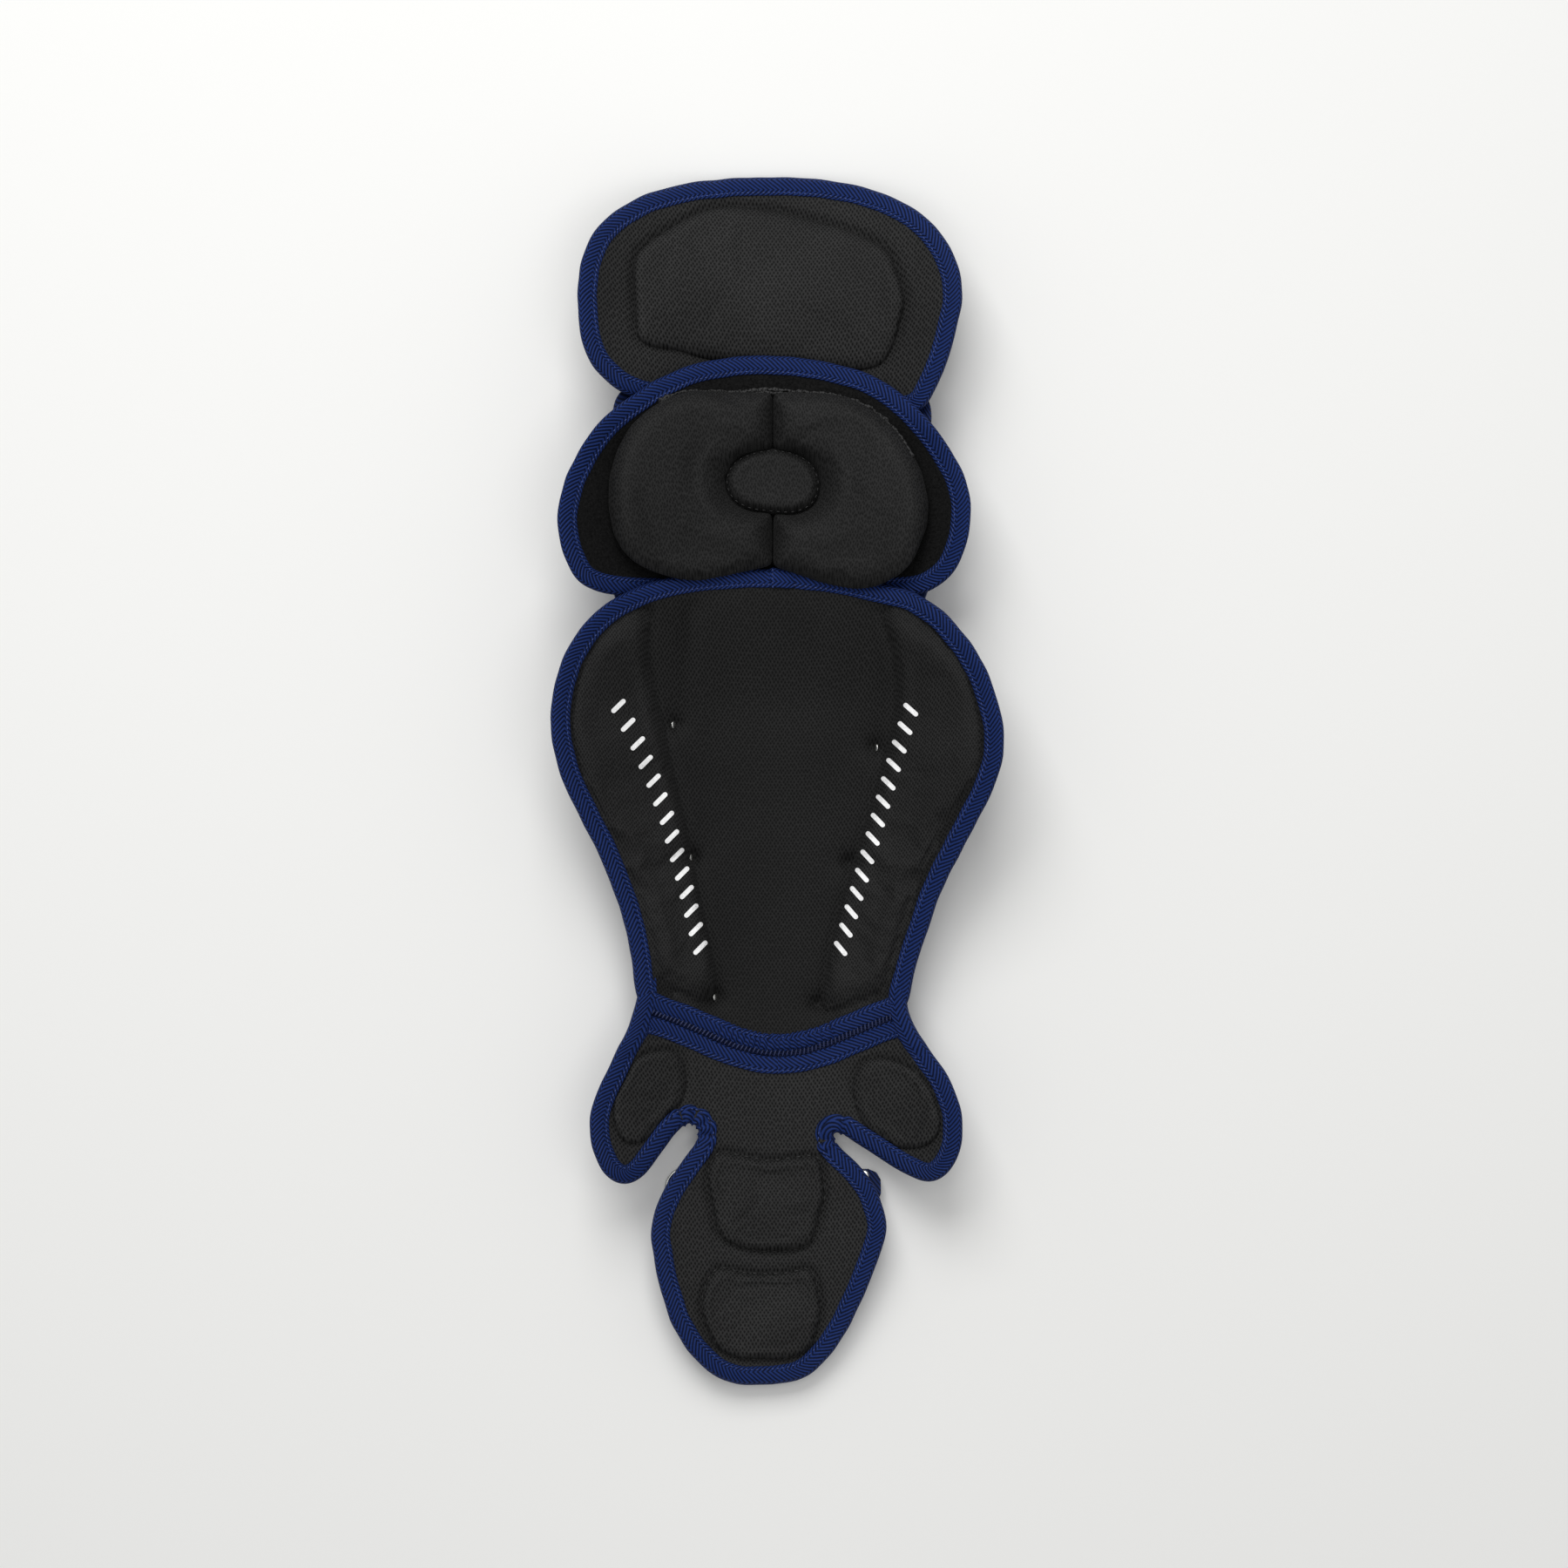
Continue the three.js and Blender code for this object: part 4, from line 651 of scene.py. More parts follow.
def tape(name, outer, inner, low, thickness, closed=True, pucker=0.12, lift=0.0, squeeze=4.0, tuck=(8, 8),
         bunched=None):
    """Folds a tape round an edge, between its line along the outside and its inner line on the
    face. Its UV map holds millimetres along and across it. An open tape's ends go under the
    tape below over the numbers of rows in tuck. bunched says how much it bunches at a place."""
    count = len(outer)
    line = np.vstack([outer, outer[:1]]) if closed else outer
    run = np.r_[0, np.cumsum(np.hypot(*np.diff(line, axis=0).T))]
    reach = np.hypot(*(inner - outer).T)
    tight = np.gradient(np.unwrap(np.arctan2(*(inner - outer).T[::-1])), run[:count])
    gather = np.clip((-rounded_values(np.c_[tight, tight], outer, 2)[:, 0] - 0.06) / 0.07, 0, 1) * closed
    if bunched is not None:
        gather = np.maximum(gather, bunched(*outer.T))
    half = thickness / 2 + TAPE_STANDS
    flat = [(1, 0.1), (0.977, 0.85), (0.925, 1.2), (0.87, 0.95), (0.81, 1.0), (0.74, 1.45), (0.6, 1.6),
            (0.45, 1.55)]
    roll = [(squeeze / 11 * (1 - math.cos(a)), math.sin(a)) for a in np.radians([75, 60, 45, 30, 15, 0])]
    upper = [(d, thickness / 2 + rise) for d, rise in flat] + [(d, half * up) for d, up in roll]
    section = upper + [(d, -h) for d, h in reversed(upper[:-1])]
    width = np.r_[0, np.cumsum(np.hypot(*(np.diff(np.array(section), axis=0) * (TAPE_SHOWS, 1)).T))]
    rows, coordinates = len(section), []
    for i in range(count):
        wave = noise.noise(Vector((run[i] / 14, 7, 2))) * 0.5
        fold = 2 * abs(math.sin(run[i] * 0.85 + 2 * noise.noise(Vector((run[i] / 9, 3, 1))))) ** 0.6 - 1.2
        ending = 1 if closed else min(1, i / tuck[0], (count - 1 - i) / tuck[1])
        for d, h in section:
            ease = min(1, d * 5, (1 - d) * 7 + 0.2)
            ripple = noise.noise(Vector((run[i] / 5, d * 1.2, h / 20))) * (pucker + 1.2 * gather[i]) * ease
            ripple += fold * 1.7 * gather[i] * ease
            share = d + (wave + fold * 0.9 * gather[i]) / reach[i]
            share = 0.5 + (share - 0.5) * (0.76 + 0.24 * ending)
            x, y = outer[i] + (inner[i] - outer[i]) * share
            over = lift if closed else (lift + 1.8) * ending - 1.8
            coordinates.append((x, y, h + (ripple + over) * (1 if h > 0 else -1)))
    spots = np.array(coordinates)
    spots[:, 2] += low(spots[:, 0], spots[:, 1]) + thickness / 2
    steps = count if closed else count - 1
    faces = [(i * rows + j, i * rows + (j + 1) % rows, (i + 1) % count * rows + (j + 1) % rows,
              (i + 1) % count * rows + j)
             for i in range(steps) for j in range(rows)]
    if not closed:
        faces += [tuple(reversed(range(rows))), tuple((count - 1) * rows + j for j in range(rows))]
    mesh = bpy.data.meshes.new(name)
    mesh.from_pydata((spots / 1000).tolist(), [], faces)
    mesh.shade_smooth()
    places = mesh.uv_layers.new(name="along_tape")
    for face in mesh.polygons:
        i, j = divmod(face.index, rows)
        if i >= steps:
            continue
        corner = [(run[i], j), (run[i], j + 1), (run[i + 1], j + 1), (run[i + 1], j)]
        for k, at in zip(face.loop_indices, corner):
            places.data[k].uv = (at[0], width[at[1]] if at[1] < rows else width[-1] + 8)
    return laid_out(name, mesh)


def bind(name, node, low, thickness, begins, reach=5.5, step=1.4, bunched=None):
    """Binds the whole edge of a panel from where the tape begins, and gives the line of the
    stitches as well."""
    loop = edge_of(node, reach, step)
    if reach < 4:
        # Away from the notches, the edge runs in longer sweeps.
        turn = np.arctan2(*(np.roll(loop, -1, 0) - loop).T[::-1])
        bend = np.angle(np.exp(1j * (np.roll(turn, -1) - turn))) / step
        tight = np.clip(-rounded_values(np.c_[bend, bend], loop, 3) / 0.05, 0, 1)
        tight = np.clip(rounded_values(tight, loop, 5)[:, :1] * 2, 0, 1)
        loop = loop * tight + rounded(loop, 5) * (1 - tight)
    loop = np.roll(loop, -np.hypot(*(loop - begins).T).argmin(), 0)
    into = inward(loop, 3.0)
    piece = tape(name, loop, loop + into * TAPE_SHOWS, low, thickness, bunched=bunched)
    line = np.c_[loop + into * (TAPE_SHOWS - 1.75), np.zeros(len(loop))]
    line[:, 2] = low(line[:, 0], line[:, 1]) + thickness + 1.15
    return piece, line


def herringbone(name, gap, crown):
    """Twill woven of spun polyester: leaning ribs meet in a spine along the tape. Their crowns are
    painted lighter as painted highlight, and the gaps between them painted nearly black as painted shade."""
    material, tree, shader = finish_of(name, Roughness=0.65, Sheen_Weight=0.01, Sheen_Roughness=0.4,
                                       Specular_IOR_Level=0.12)
    place = add_node(tree, "ShaderNodeTexCoord").outputs["Object"]
    parts = add_node(tree, "ShaderNodeSeparateXYZ",
                     {0: add_node(tree, "ShaderNodeUVMap", uv_map="along_tape").outputs[0]})
    along, across = parts.outputs[0], parts.outputs[1]
    wander = add_node(tree, "ShaderNodeTexNoise", {"Vector": place, "Scale": 90.0, "Detail": 2.0})
    fibre = add_node(tree, "ShaderNodeTexNoise", {"Vector": place, "Scale": 900.0, "Detail": 3.0})
    # The spine lies 4 mm from the tape's inner edge, and the next one in the fold.
    moved = add_node(tree, "ShaderNodeMath", {0: across, 1: 2.4}, operation="ADD")
    side = add_node(tree, "ShaderNodeMath", {0: moved.outputs[0], 1: 6.4}, operation="PINGPONG")
    lean = add_node(tree, "ShaderNodeMath", {0: side.outputs[0], 1: 1.15, 2: along},
                    operation="MULTIPLY_ADD")
    loose = add_node(tree, "ShaderNodeMath", {0: wander.outputs[0], 1: 1.6, 2: lean.outputs[0]},
                     operation="MULTIPLY_ADD")
    turns = add_node(tree, "ShaderNodeMath", {0: loose.outputs[0], 1: 2 * math.pi / 2.9},
                     operation="MULTIPLY")
    wave = add_node(tree, "ShaderNodeMath", {0: turns.outputs[0]}, operation="SINE")
    ribs = add_node(tree, "ShaderNodeMapRange", {0: wave.outputs[0], 1: -1.0, 2: 1.0})
    mixed = add_node(tree, "ShaderNodeMath", {0: fibre.outputs[0], 1: 0.45, 2: ribs.outputs[0]},
                     operation="MULTIPLY_ADD")
    tree.links.new(ramp(tree, mixed.outputs[0], [(0.25, gap), (0.95, crown)]), shader.inputs["Base Color"])
    bump = add_node(tree, "ShaderNodeBump", {"Strength": 0.9, "Distance": 0.0006,
                                             "Height": mixed.outputs[0]})
    tree.links.new(bump.outputs[0], shader.inputs["Normal"])
    return material


# The ribs are 1.4 mm apart on the real tape and 1.9 mm here, so that they show in a picture
# of the whole guard.
twill = herringbone("navy_herringbone_twill", "#040a1f", "#1d326c")

# Stitches: bonded polyester thread, lockstitched about every 3 mm. Each stitch is a
# short plump loop of thread that bites into the cloth at both ends.
# Its twist, 0.7 mm long, makes it glint in short dashes: painted highlights, lighter spots in its colour.
thread_navy = mottled("navy_bonded_thread", 1500.0, 2.0, [(0.3, "#14234c"), (0.7, "#33498a")],
                      Roughness=0.5)[0]
thread_black = mottled("black_bonded_thread", 1500.0, 2.0, [(0.3, "#040404"), (0.7, "#161616")],
                       Roughness=0.5)[0]


def stitch_tree():
    """Geometry nodes that lay a stitch at each step along a line."""
    sizes = {"Step": 0.003, "Length": 0.0021, "Thickness": 0.0009, "Turn": 0.0}
    group, given = tree_of("lockstitch", "Line", sizes, {"Thread": "Material"}, "Stitches")
    curve = add_node(group, "GeometryNodeMeshToCurve", {0: given["Line"]})
    even = add_node(group, "GeometryNodeResampleCurve", {0: curve.outputs[0], "Length": given["Step"]},
                    mode="LENGTH")
    ball = add_node(group, "GeometryNodeMeshUVSphere", {"Segments": 6, "Rings": 4, "Radius": 0.5})
    size = add_node(group, "ShaderNodeCombineXYZ",
                    {0: given["Length"], 1: given["Thickness"], 2: given["Thickness"]})
    plump = add_node(group, "GeometryNodeTransform", {0: ball.outputs[0], "Scale": size.outputs[0]})
    tangent = add_node(group, "GeometryNodeInputTangent")
    facing = add_node(group, "FunctionNodeAlignRotationToVector", {"Vector": tangent.outputs[0]}, axis="X")
    skew = add_node(group, "ShaderNodeCombineXYZ", {2: given["Turn"]})
    turned = add_node(group, "FunctionNodeRotateRotation", {0: facing.outputs[0], 1: skew.outputs[0]},
                      rotation_space="LOCAL")
    laid = add_node(group, "GeometryNodeInstanceOnPoints",
                    {"Points": even.outputs[0], "Instance": plump.outputs[0], "Rotation": turned.outputs[0]})
    real = add_node(group, "GeometryNodeRealizeInstances", {0: laid.outputs[0]})
    return end_tree(group, real.outputs[0], given["Thread"])


lockstitch = stitch_tree()


def sew(name, lines, thread, slot, closed=True, **sizes):
    """Sews along lines of points in millimetres."""
    spots, edges = [], []
    for line in lines:
        start, count = len(spots), len(line)
        spots += np.asarray(line).tolist()
        edges += [(start + i, start + (i + 1) % count) for i in range(count if closed else count - 1)]
    piece = points_piece(name, spots, edges)
    grown(piece, lockstitch, Thread=thread, **sizes)
    return settle(piece, None, slot)


shin_binding, shin_line = bind("shin_binding_tape", "shin_binding", SHIN_LOW, SHIN_FOAM, (5, 130), 5, 1.1,
                               lambda x, y: 0.7 * (y < -130) * np.clip((44 - np.abs(x - 2)) / 12, 0, 1))
settle(shin_binding, twill, "navy_tape", "shin_binding")
sew("shin_binding_stitches", [shin_line], thread_navy, "navy_tape")
# The tape's end laps 24 mm over its beginning, at the middle of the channel's head.
shin_loop = edge_of("shin_binding", 5, 1.4)
lapped = np.flatnonzero((shin_loop[:, 1] > 90) & (np.abs(shin_loop[:, 0] - 5) < 12))
lap_out = shin_loop[lapped]
lap_in = lap_out + inward(shin_loop, 3.0)[lapped] * (TAPE_SHOWS + 0.3)
lap = tape("shin_binding_lap", lap_out - inward(shin_loop)[lapped] * 0.2, lap_in, SHIN_LOW, SHIN_FOAM,
           False, 0.12, 1.1, 5.0, tuck=(7, 1.2))
settle(lap, twill, "navy_tape")
across = np.linspace(0.1, 0.95, 8)[:, None] * (lap_in[-3] - lap_out[-3]) + lap_out[-3]
sew("shin_binding_lap_stitches", [np.c_[across, SHIN_LOW(*across.T) + SHIN_FOAM + 2.3]], thread_navy,
    "navy_tape", False, Step=0.0022, Length=0.0017)

# The ankle flap covers the ankle bones and the instep: one panel of the same mesh on
# 7 mm foam, cut with a wing each side of a tongue, joined to the liner edge to edge.
FLAP_LOW = layer((0, 6.35))
FLAP_FOAM = 7
PAD_GROOVE = 2.1  # how deep the stitches round a pad draw the flap's face in
FLAP_PADS = {"wing_pad_left": 4, "wing_pad_right": 4, "instep_pad_upper": 4.5, "instep_pad_lower": 4.5}
flap_pad_edges = {name: edge_of(name, 2.2) for name in FLAP_PADS}
for name in ("wing_pad_left", "wing_pad_right"):
    # The wings' pads bulge all round, so their edge has no dent.
    hull = flap_pad_edges[name][convex_hull_2d([Vector(spot) for spot in flap_pad_edges[name]])]
    flap_pad_edges[name] = evenly(hull if loop_area(hull) > 0 else hull[::-1], 1.6)
for name, loop in flap_pad_edges.items():
    # Each stitch of the instep pads bites 0.7 mm into the edge.
    run = np.arange(len(loop)) * np.hypot(*(loop[1] - loop[0]))
    turn = max(1, round(run[-1] / 6.2)) / (run[-1] + run[1]) * 2 * math.pi
    bite = 0.35 * (1 + np.sin(run * turn)) * ("instep" in name)
    flap_pad_edges[name] = loop + inward(loop) * bite[:, None]


def flap_relief(points, depth):
    lift = np.zeros(len(points))
    for loop in flap_pad_edges.values():
        lift -= PAD_GROOVE * np.exp(-(edge_distance(points, loop) / 2.2) ** 2)
    return lift


flap_mesh = mesh_cloth("black_spacer_mesh_coarse", "#070707", "#2e2e2e", 1.6, 0.0007)
flap_edge = edge_of("ankle_flap", 2.6)
flap = slab("ankle_flap_padded", flap_edge, FLAP_LOW, FLAP_FOAM, 3.5, 1.9, (0.6, 1.6, 3.2),
            relief=flap_relief)
settle(flap, flap_mesh, "black_mesh", "ankle_flap")


def flap_face(x, y):
    return FLAP_LOW(x, y) + FLAP_FOAM - PAD_GROOVE


for name, rise in FLAP_PADS.items():
    pad = pad_on(name + "_padded", flap_pad_edges[name], flap_face, rise + 0.9, 4.5, 0.8, 2.2,
                 (0.4, 1.1, 2.2))
    blow_up(pad, 3, 0.03, 3.0)
    settle(pad, flap_mesh, "black_mesh", name)
instep_lines = [np.c_[loop, flap_face(*loop.T) + 0.45]
                for name, loop in flap_pad_edges.items() if "instep" in name]
sew("instep_pad_stitches", instep_lines, thread_black, "black_mesh", Step=0.0062, Length=0.0044,
    Thickness=0.0010)

ankle_binding, ankle_line = bind("ankle_binding_tape", "ankle_binding", FLAP_LOW, FLAP_FOAM,
                                 (0, -155), 2.8, 0.8)
settle(ankle_binding, twill, "navy_tape", "ankle_binding")
sew("ankle_binding_stitches", [ankle_line], thread_navy, "navy_tape")

# Liner and flap meet edge to edge in a wide ladder seam: a strip of the tape lies over
# the joint, crossed by close stitches, and a length of tape at each side runs on over
# both corners, so that the edge of the guard is bound without a break.
def smooth_line(*spots, step=1.4):
    """A smooth open line through places in millimetres."""
    points = np.array(spots)
    run = np.r_[0, np.cumsum(np.hypot(*np.diff(points, axis=0).T))]
    at = np.linspace(0, run[-1], max(8, round(run[-1] / step)))
    line = np.c_[np.interp(at, run, points[:, 0]), np.interp(at, run, points[:, 1])]
    for _ in range(12):
        line[1:-1] = (line[:-2] + 2 * line[1:-1] + line[2:]) / 4
    return line


def resampled(line, count):
    run = np.r_[0, np.cumsum(np.hypot(*np.diff(line, axis=0).T))]
    at = np.linspace(0, run[-1], count)
    return np.c_[np.interp(at, run, line[:, 0]), np.interp(at, run, line[:, 1])]


seam = smooth_line((-75.2, -130.8), (-57.2, -137.8), (-38.2, -146.2), (-22.2, -153.2), (-2.8, -156.8),
                   (14.8, -156.2), (32.2, -149.8), (47.8, -142.8), (68.8, -133.8))
beside = np.c_[-np.gradient(seam[:, 1]), np.gradient(seam[:, 0])]
beside /= np.linalg.norm(beside, axis=1)[:, None]
# The same tape sunk between two others, where hardly any light gets down to it: painted shade,
# its crowns coloured far darker.
twill_painted_seam_shade = herringbone("navy_twill_painted_seam_shade", "#040a1f", "#0b1638")
ladder = tape("ladder_seam_strip", seam - beside * 3.6, seam + beside * 3.6, FLAP_LOW, FLAP_FOAM - 1.0,
              False, 0.3)
settle(ladder, twill_painted_seam_shade, "navy_tape")
rungs = np.c_[seam, FLAP_LOW(*seam.T) + FLAP_FOAM + 0.95]
# The same thread in the shade of the seam, coloured darker as painted shade; the pull across it
# dulls its gloss.
thread_painted_seam_shade = mottled("navy_thread_painted_seam_shade", 1500.0, 2.0, [(0.3, "#0a1330"), (0.7, "#1c2c5e")],
                      Roughness=0.6)[0]
sew("ladder_seam_stitches", [rungs], thread_painted_seam_shade, "navy_tape", False, Step=0.0024, Length=0.0052,
    Thickness=0.0012, Turn=1.25)
JOINS = {
    "left": (smooth_line((-79, -113.8), (-80.2, -121.8), (-82.2, -131.8), (-85.2, -140.8), (-90.2, -150.2),
                         (-96.8, -161.8)),
             smooth_line((-68.2, -111.8), (-68.8, -120.8), (-70.8, -130.8), (-74.2, -141.8),
                         (-79.8, -153.2), (-85.2, -163.8))),
    "right": (smooth_line((76.2, -110.8), (74.2, -120.8), (74.8, -130.8), (78.2, -140.8), (84.8, -150.8),
                          (90.8, -159.8)),
              smooth_line((65.8, -108.8), (63.8, -119.8), (64.2, -130.8), (67.2, -142.8), (73.8, -154.8),
                          (79.2, -162.8))),
}
for side, (outer, inner) in JOINS.items():
    inner = resampled(inner, len(outer))
    if side == "right":
        outer, inner = outer[::-1], inner[::-1]
    join = tape("joint_tape_" + side, outer, inner, FLAP_LOW, SHIN_FOAM, False, 0.2, 0.5)
    settle(join, twill, "navy_tape")

# The knee panel is a thin curtain of brushed knit over 5 mm foam. It hangs between the
# thigh pad and the shin liner, and carries the knee pad.
KNEE_LOW = layer((0, 22.55), (142, 22.55), (164, 11.2))
KNEE_FOAM = 5
# Brushed loop knit: no pattern shows, only a fine fuzz that darkens it like velvet.
brushed, tree, shader = finish_of("black_brushed_knit", Roughness=0.95, Sheen_Weight=0.01,
                                  Sheen_Roughness=0.6, Specular_IOR_Level=0.05)
place = add_node(tree, "ShaderNodeTexCoord").outputs["Object"]
fuzz = add_node(tree, "ShaderNodeTexNoise", {"Vector": place, "Scale": 700.0, "Detail": 5.0,
                                             "Roughness": 0.7})
tree.links.new(ramp(tree, fuzz.outputs[0], [(0.3, "#060606"), (0.72, "#1e1e1e")]),
               shader.inputs["Base Color"])
bump = add_node(tree, "ShaderNodeBump", {"Strength": 0.8, "Distance": 0.0005, "Height": fuzz.outputs[0]})
tree.links.new(bump.outputs[0], shader.inputs["Normal"])
knee_panel = slab("knee_panel_padded", edge_of("knee_panel"), KNEE_LOW, KNEE_FOAM, 2.5, 2.8, (0.6, 1.6))
settle(knee_panel, brushed, "black_knit", "knee_panel")
knee_binding, knee_line = bind("knee_binding_tape", "knee_binding", KNEE_LOW, KNEE_FOAM, (0, 110))
settle(knee_binding, twill, "navy_tape", "knee_binding")
sew("knee_binding_stitches", [knee_line], thread_navy, "navy_tape")

# The knee pad is a thick two-lobed cushion of soft foam in smooth knit, sewn to the
# panel along its upper edge only, so that its lobes hang free over the liner's head.
# A seam parts the lobes, and a stitched oval in the middle is drawn down to the panel.
KNEE_PAD_LOW = layer((0, 27.9), (142, 27.9), (164, 16.55), (200, 16.55), (223, 29.4))
KNEE_PAD_TOP = layer((0, 41.4))
KNEE_OVAL_TOP = layer((0, 31.5))
left_edge, right_edge, oval_edge = (
    loop - inward(loop) * out for loop, out in
    ((edge_of("knee_pad_left", 2.5), 0.35), (edge_of("knee_pad_right", 2.5), 0.35),
     (edge_of("knee_pad_centre", 3), 1.3)))
# Smooth warp knit: faint upright wales 1.1 mm apart.
smooth_knit = mesh_cloth("black_smooth_knit", "#101010", "#262626", 1.2, 0.0002, 0.6, 1.8, 0.02)
for name, loop in (("left", left_edge), ("right", right_edge)):
    lobe = pad_on("knee_pad_" + name + "_padded", loop, KNEE_PAD_LOW,
                  lambda x, y: KNEE_PAD_TOP(x, y) - KNEE_PAD_LOW(x, y), 15, 2.5, 3.4, (0.5, 1.4, 2.8), 0.2)
    blow_up(lobe, 6, 0.02, 4.0)
    settle(lobe, smooth_knit, "black_knit", "knee_pad_" + name)
oval = pad_on("knee_pad_centre_padded", oval_edge, KNEE_PAD_LOW,
              lambda x, y: KNEE_OVAL_TOP(x, y) - KNEE_PAD_LOW(x, y), 6, 1.5, 2.6, (0.5, 1.4), 0.2)
blow_up(oval, 3, 0.02, 3.0)
settle(oval, smooth_knit, "black_knit", "knee_pad_centre")
oval_line = oval_edge + inward(oval_edge) * 1.6
oval_line = np.c_[oval_line, trough(oval_line[:, 0]) + 28.5]
sew("knee_pad_oval_stitches", [oval_line], thread_black, "black_knit", Step=0.0042, Length=0.0028,
    Thickness=0.0008)

# The knee pad's upper edge is a raw overlocked seam: a thin ragged welt of folded knit
# that stands along the top of both lobes.
def welt_tree():
    """Geometry nodes that run a ragged bead along a line."""
    sizes = {"Radius": 0.0009, "Step": 0.0009, "Raggedness": 0.0040, "Roughness": 330.0}
    group, given = tree_of("ragged_welt", "Line", sizes, {"Cloth": "Material"}, "Welt")
    curve = add_node(group, "GeometryNodeMeshToCurve", {0: given["Line"]})
    even = add_node(group, "GeometryNodeResampleCurve", {0: curve.outputs[0], "Length": given["Step"]},
                    mode="LENGTH")
    ring = add_node(group, "GeometryNodeCurvePrimitiveCircle", {"Resolution": 8, "Radius": given["Radius"]})
    tube = add_node(group, "GeometryNodeCurveToMesh",
                    {0: even.outputs[0], 1: ring.outputs[0], "Fill Caps": True})
    rough = add_node(group, "ShaderNodeTexNoise", {"Scale": given["Roughness"], "Detail": 3.0})
    centred = add_node(group, "ShaderNodeVectorMath", {0: rough.outputs["Color"], 1: (0.5, 0.5, 0.5)},
                       operation="SUBTRACT")
    far = add_node(group, "ShaderNodeVectorMath", {0: centred.outputs[0], "Scale": given["Raggedness"]},
                   operation="SCALE")
    moved = add_node(group, "GeometryNodeSetPosition", {0: tube.outputs[0], "Offset": far.outputs[0]})
    real = add_node(group, "GeometryNodeRealizeInstances", {0: moved.outputs[0]})
    return end_tree(group, real.outputs[0], given["Cloth"])


welt_line = smooth_line((-67.8, 216.8), (-61.2, 219.8), (-51.8, 222.8), (-27.2, 222.2), (-4.2, 224.2),
                        (15.8, 222.2), (32.8, 220.8), (47.8, 216.2), (59.8, 207.8), (70.2, 195.8),
                        (76.8, 184.2))
welt_nodes = welt_tree()
# The raw ends of the yarn catch more light than the knit, painted in as a lighter colour: a painted
# highlight.
raw_knit_painted_highlight = mesh_cloth("black_raw_edge_painted_highlight", "#0a0a0a", "#3a3a3a", 1.2, 0.0006, 0.9, 1.8, 0.02)
for name, shift, rise in (("outer", 0.9, 29.0), ("inner", -1.1, 30.6)):
    off = np.c_[-np.gradient(welt_line[:, 1]), np.gradient(welt_line[:, 0])]
    off /= np.linalg.norm(off, axis=1)[:, None]
    line = welt_line + off * shift
    line = np.c_[line, trough(line[:, 0]) + rise]
    welt = points_piece("knee_pad_welt_" + name, line, [(i, i + 1) for i in range(len(line) - 1)])
    grown(welt, welt_nodes, Cloth=raw_knit_painted_highlight)
    settle(welt, None, "black_knit")

# The bridge is a doubled strip of twill between the thigh pad and the knee panel, which
# lets the thigh pad fold back. Only its two ends peek out.
bridge = slab("thigh_bridge_strip", edge_of("thigh_bridge"), layer((0, 6.35)), 3, 1.5, 3.5, (0.4, 1.2))
# Plain twill: close diagonal ribs, duller than the herringbone because it is not pressed.
twill_plain, tree, shader = finish_of("navy_twill_strip", Roughness=0.75, Specular_IOR_Level=0.2)
place = add_node(tree, "ShaderNodeTexCoord").outputs["Object"]
lines = add_node(tree, "ShaderNodeTexWave", {"Vector": place, "Scale": 220.0, "Distortion": 0.6},
                 bands_direction="DIAGONAL")
tree.links.new(ramp(tree, lines.outputs[0], [(0.2, "#0a132c"), (0.8, "#1d2e60")]),
               shader.inputs["Base Color"])
bump = add_node(tree, "ShaderNodeBump", {"Strength": 0.6, "Distance": 0.0004, "Height": lines.outputs[0]})
tree.links.new(bump.outputs[0], shader.inputs["Normal"])
settle(bridge, twill_plain, "navy_tape", "thigh_bridge")

# The thigh pad covers the lower thigh above the knee: mesh on 8 mm foam with a second
# foam cushion bonded under its face, which stands up from a moulded groove.
THIGH_LOW = layer((0, 2.5), (104, 11.2))
THIGH_FOAM = 8
CUSHION_RISE = 6
CUSHION_GROOVE = 2.6
cushion_edge = edge_of("thigh_cushion", 3)


def thigh_relief(points, depth):
    return -CUSHION_GROOVE * np.exp(-(np.minimum(0, edge_distance(points, cushion_edge)) / 2.8) ** 2)


thigh = slab("thigh_pad_padded", edge_of("thigh_pad"), THIGH_LOW, THIGH_FOAM, 4, 2.2, (0.6, 1.8, 3.5),
             relief=thigh_relief)
settle(thigh, flap_mesh, "black_mesh", "thigh_pad")


def cushion_rise(x, y):
    """The cushion falls toward its lower edge, where the knee panel lies against it."""
    return CUSHION_RISE + CUSHION_GROOVE - 4.2 * np.clip((290 - y) / 52, 0, 1) ** 1.6


cushion = pad_on("thigh_cushion_padded", cushion_edge,
                 lambda x, y: THIGH_LOW(x, y) + THIGH_FOAM - CUSHION_GROOVE, cushion_rise, 6, 2.5,
                 rings=(0.4, 1.1, 2.2))
blow_up(cushion, 1.5, 0.0, 2.0)
settle(cushion, flap_mesh, "black_mesh", "thigh_cushion")
thigh_binding, thigh_line = bind("thigh_binding_tape", "thigh_binding", THIGH_LOW, THIGH_FOAM, (0, 200))
settle(thigh_binding, twill, "navy_tape", "thigh_binding")
sew("thigh_binding_stitches", [thigh_line], thread_navy, "navy_tape")

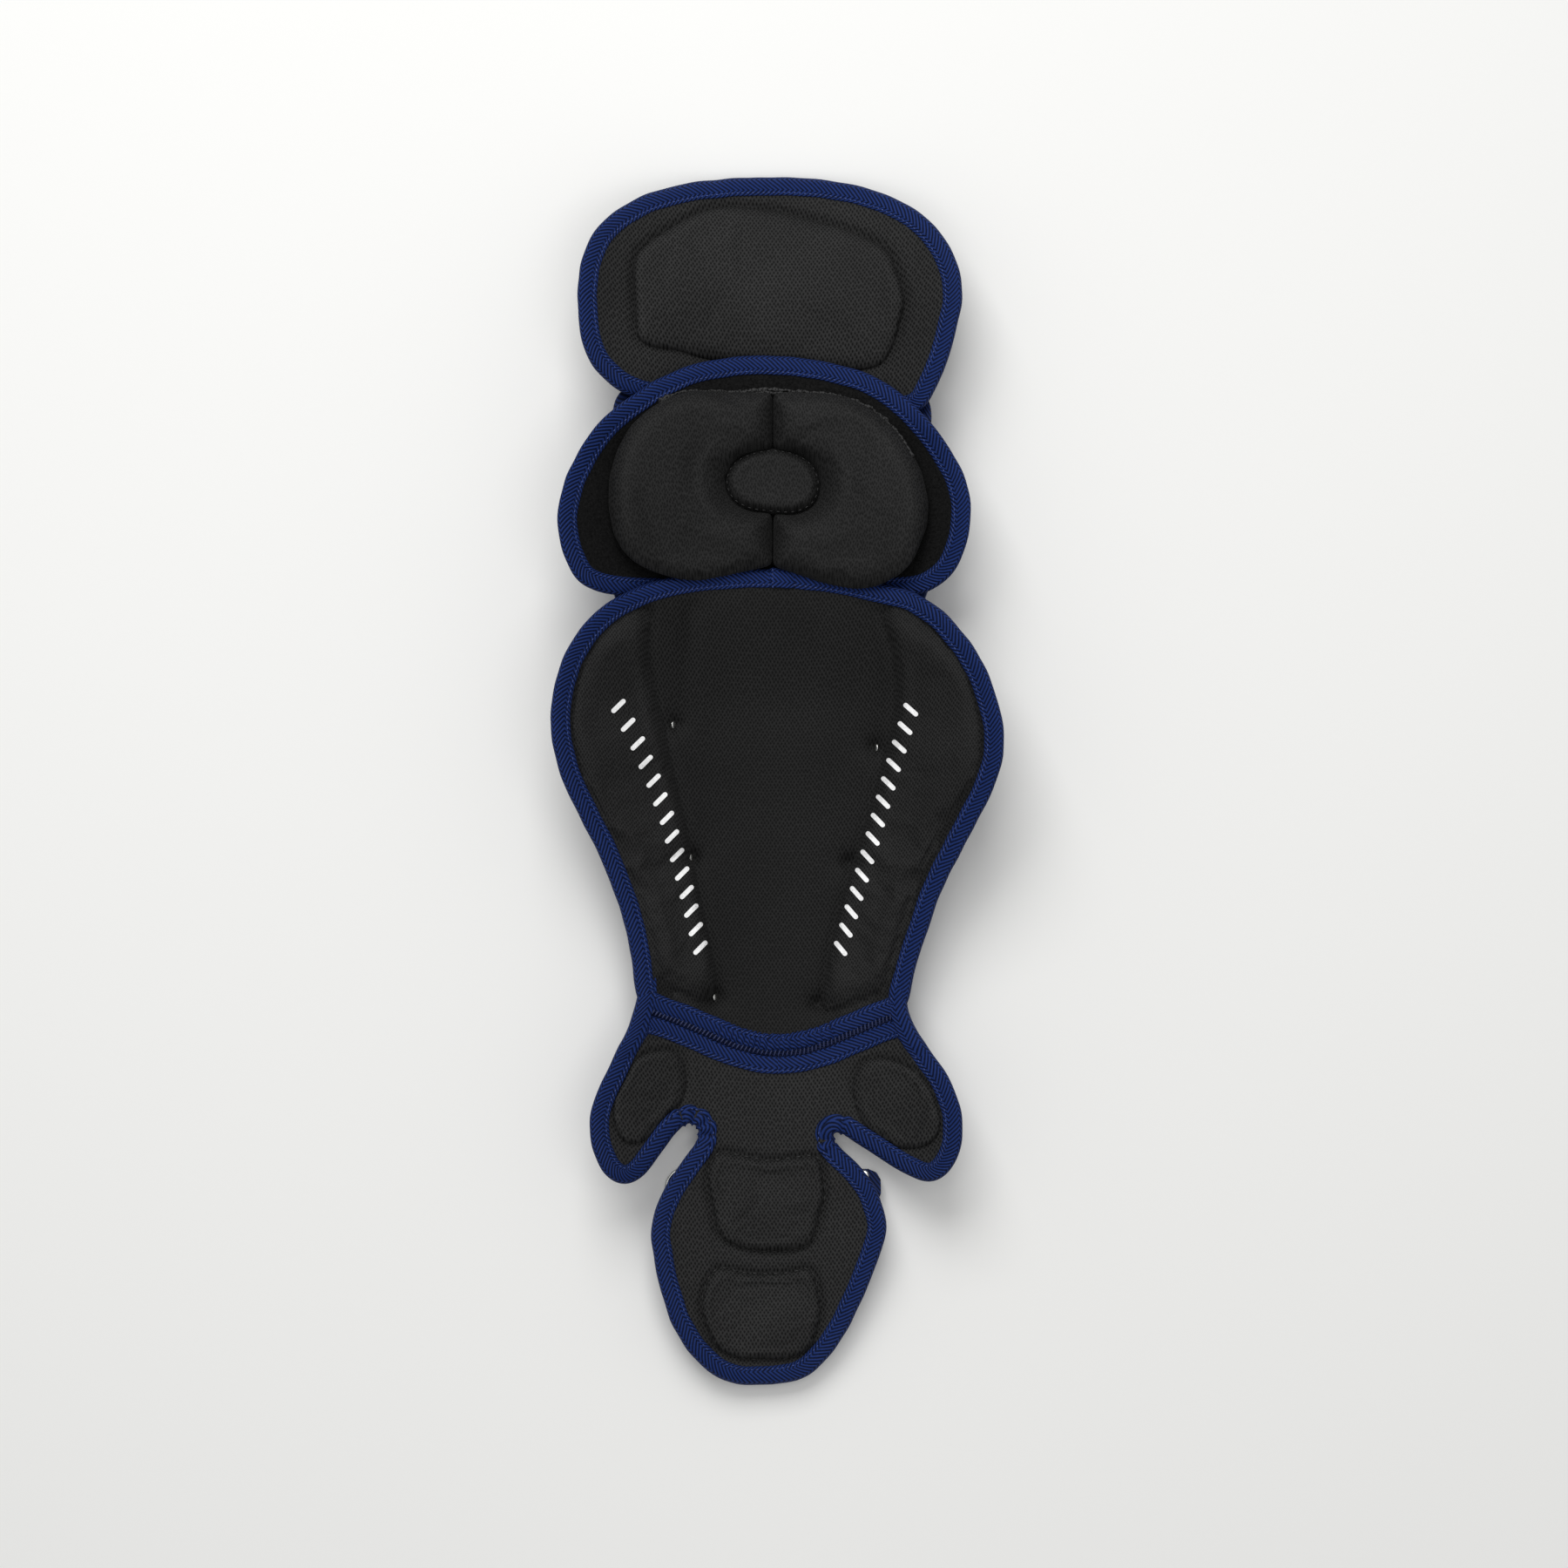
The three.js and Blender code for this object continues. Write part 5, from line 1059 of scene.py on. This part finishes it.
# The foot strap passes under the instep: 21 mm herringbone webbing riveted to the tongue
# at one end and folded round a welded nickel-plated ring at the other.
packed = np.array([v.co[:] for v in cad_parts["foot_ring"].data.vertices]) * 1000
ring_middle = (packed.min(0) + packed.max(0)) / 2
flat_of = np.linalg.svd(packed - packed.mean(0))[2]
WIRE = 1.2  # radius of the ring's wire in mm
RING_STEPS, WIRE_STEPS = 64, 16
ring_radius = np.linalg.norm(packed - ring_middle, axis=1).max() - WIRE
spots = []
for a in np.arange(RING_STEPS) * 2 * math.pi / RING_STEPS:
    out = flat_of[0] * math.cos(a) + flat_of[1] * math.sin(a)
    for b in np.arange(WIRE_STEPS) * 2 * math.pi / WIRE_STEPS:
        spots.append(ring_middle + (ring_radius + WIRE * math.cos(b)) * out
                     + np.cross(flat_of[0], flat_of[1]) * WIRE * math.sin(b))
faces = []
for i in range(RING_STEPS):
    here, ahead = i * WIRE_STEPS, (i + 1) % RING_STEPS * WIRE_STEPS
    for j in range(WIRE_STEPS):
        beyond = (j + 1) % WIRE_STEPS
        faces.append((here + j, ahead + j, ahead + beyond, here + beyond))
ring_mesh = bpy.data.meshes.new("foot_ring_wire")
ring_mesh.from_pydata((np.array(spots) / 1000).tolist(), [], faces)
ring_mesh.shade_smooth()
settle(laid_out("foot_ring_wire", ring_mesh), nickel, "steel", "foot_ring")
webbing = laid_out("foot_strap_webbing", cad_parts["foot_strap"].data.copy())
webbing.modifiers.new("joined", "WELD").merge_threshold = 0.00001
soft = webbing.modifiers.new("even", "REMESH")
soft.mode, soft.voxel_size = "VOXEL", 0.0005
worn = webbing.modifiers.new("worn", "SMOOTH")
worn.factor, worn.iterations = 0.5, 5
settle(as_plain(webbing), twill_plain, "navy_tape", "foot_strap")

# The photographer's table: a seamless pale sheet, a large soft lamp beyond the thigh
# end, a weaker one over the middle, and a camera looking straight down.
TABLE = 4.0  # metres from its middle to each side
corners = [(-TABLE, -TABLE, 0), (TABLE, -TABLE, 0), (TABLE, TABLE, 0), (-TABLE, TABLE, 0)]
floor_mesh = bpy.data.meshes.new("table")
floor_mesh.from_pydata(corners, [], [(0, 1, 2, 3)])
floor = laid_out("table", floor_mesh)
# Background paper: matt, nearly white, no texture that a lens would see.
paper, tree, shader = finish_of("matt_white_paper", Roughness=0.9)
shader.inputs["Base Color"].default_value = linear("#f4f4f2")
floor_mesh.materials.append(paper)
for name, spot, power, width in (("window", (-0.35, 1.5, 1.9), 35, 1.4),
                                 ("overhead", (0.2, -0.2, 2.6), 16, 1.8)):
    lamp = bpy.data.lights.new(name, "AREA")
    lamp.energy, lamp.size = power, width
    holder = laid_out(name, lamp)
    holder.location = spot
    holder.rotation_euler = (-Vector(spot)).to_track_quat("-Z", "Y").to_euler()
sky = bpy.data.worlds.new("studio")
sky.use_nodes = True
sky.node_tree.nodes["Background"].inputs[0].default_value = (1, 1, 1, 1)
sky.node_tree.nodes["Background"].inputs[1].default_value = 0.36
bpy.context.scene.world = sky
eye = bpy.data.cameras.new("eye")
eye.lens, eye.sensor_width = 160, 36
camera = laid_out("eye", eye)
camera.location = (0.00375, -0.00175, 4.03)
bpy.context.scene.camera = camera
bpy.context.scene.view_settings.view_transform = "Standard"

bpy.context.view_layer.update()
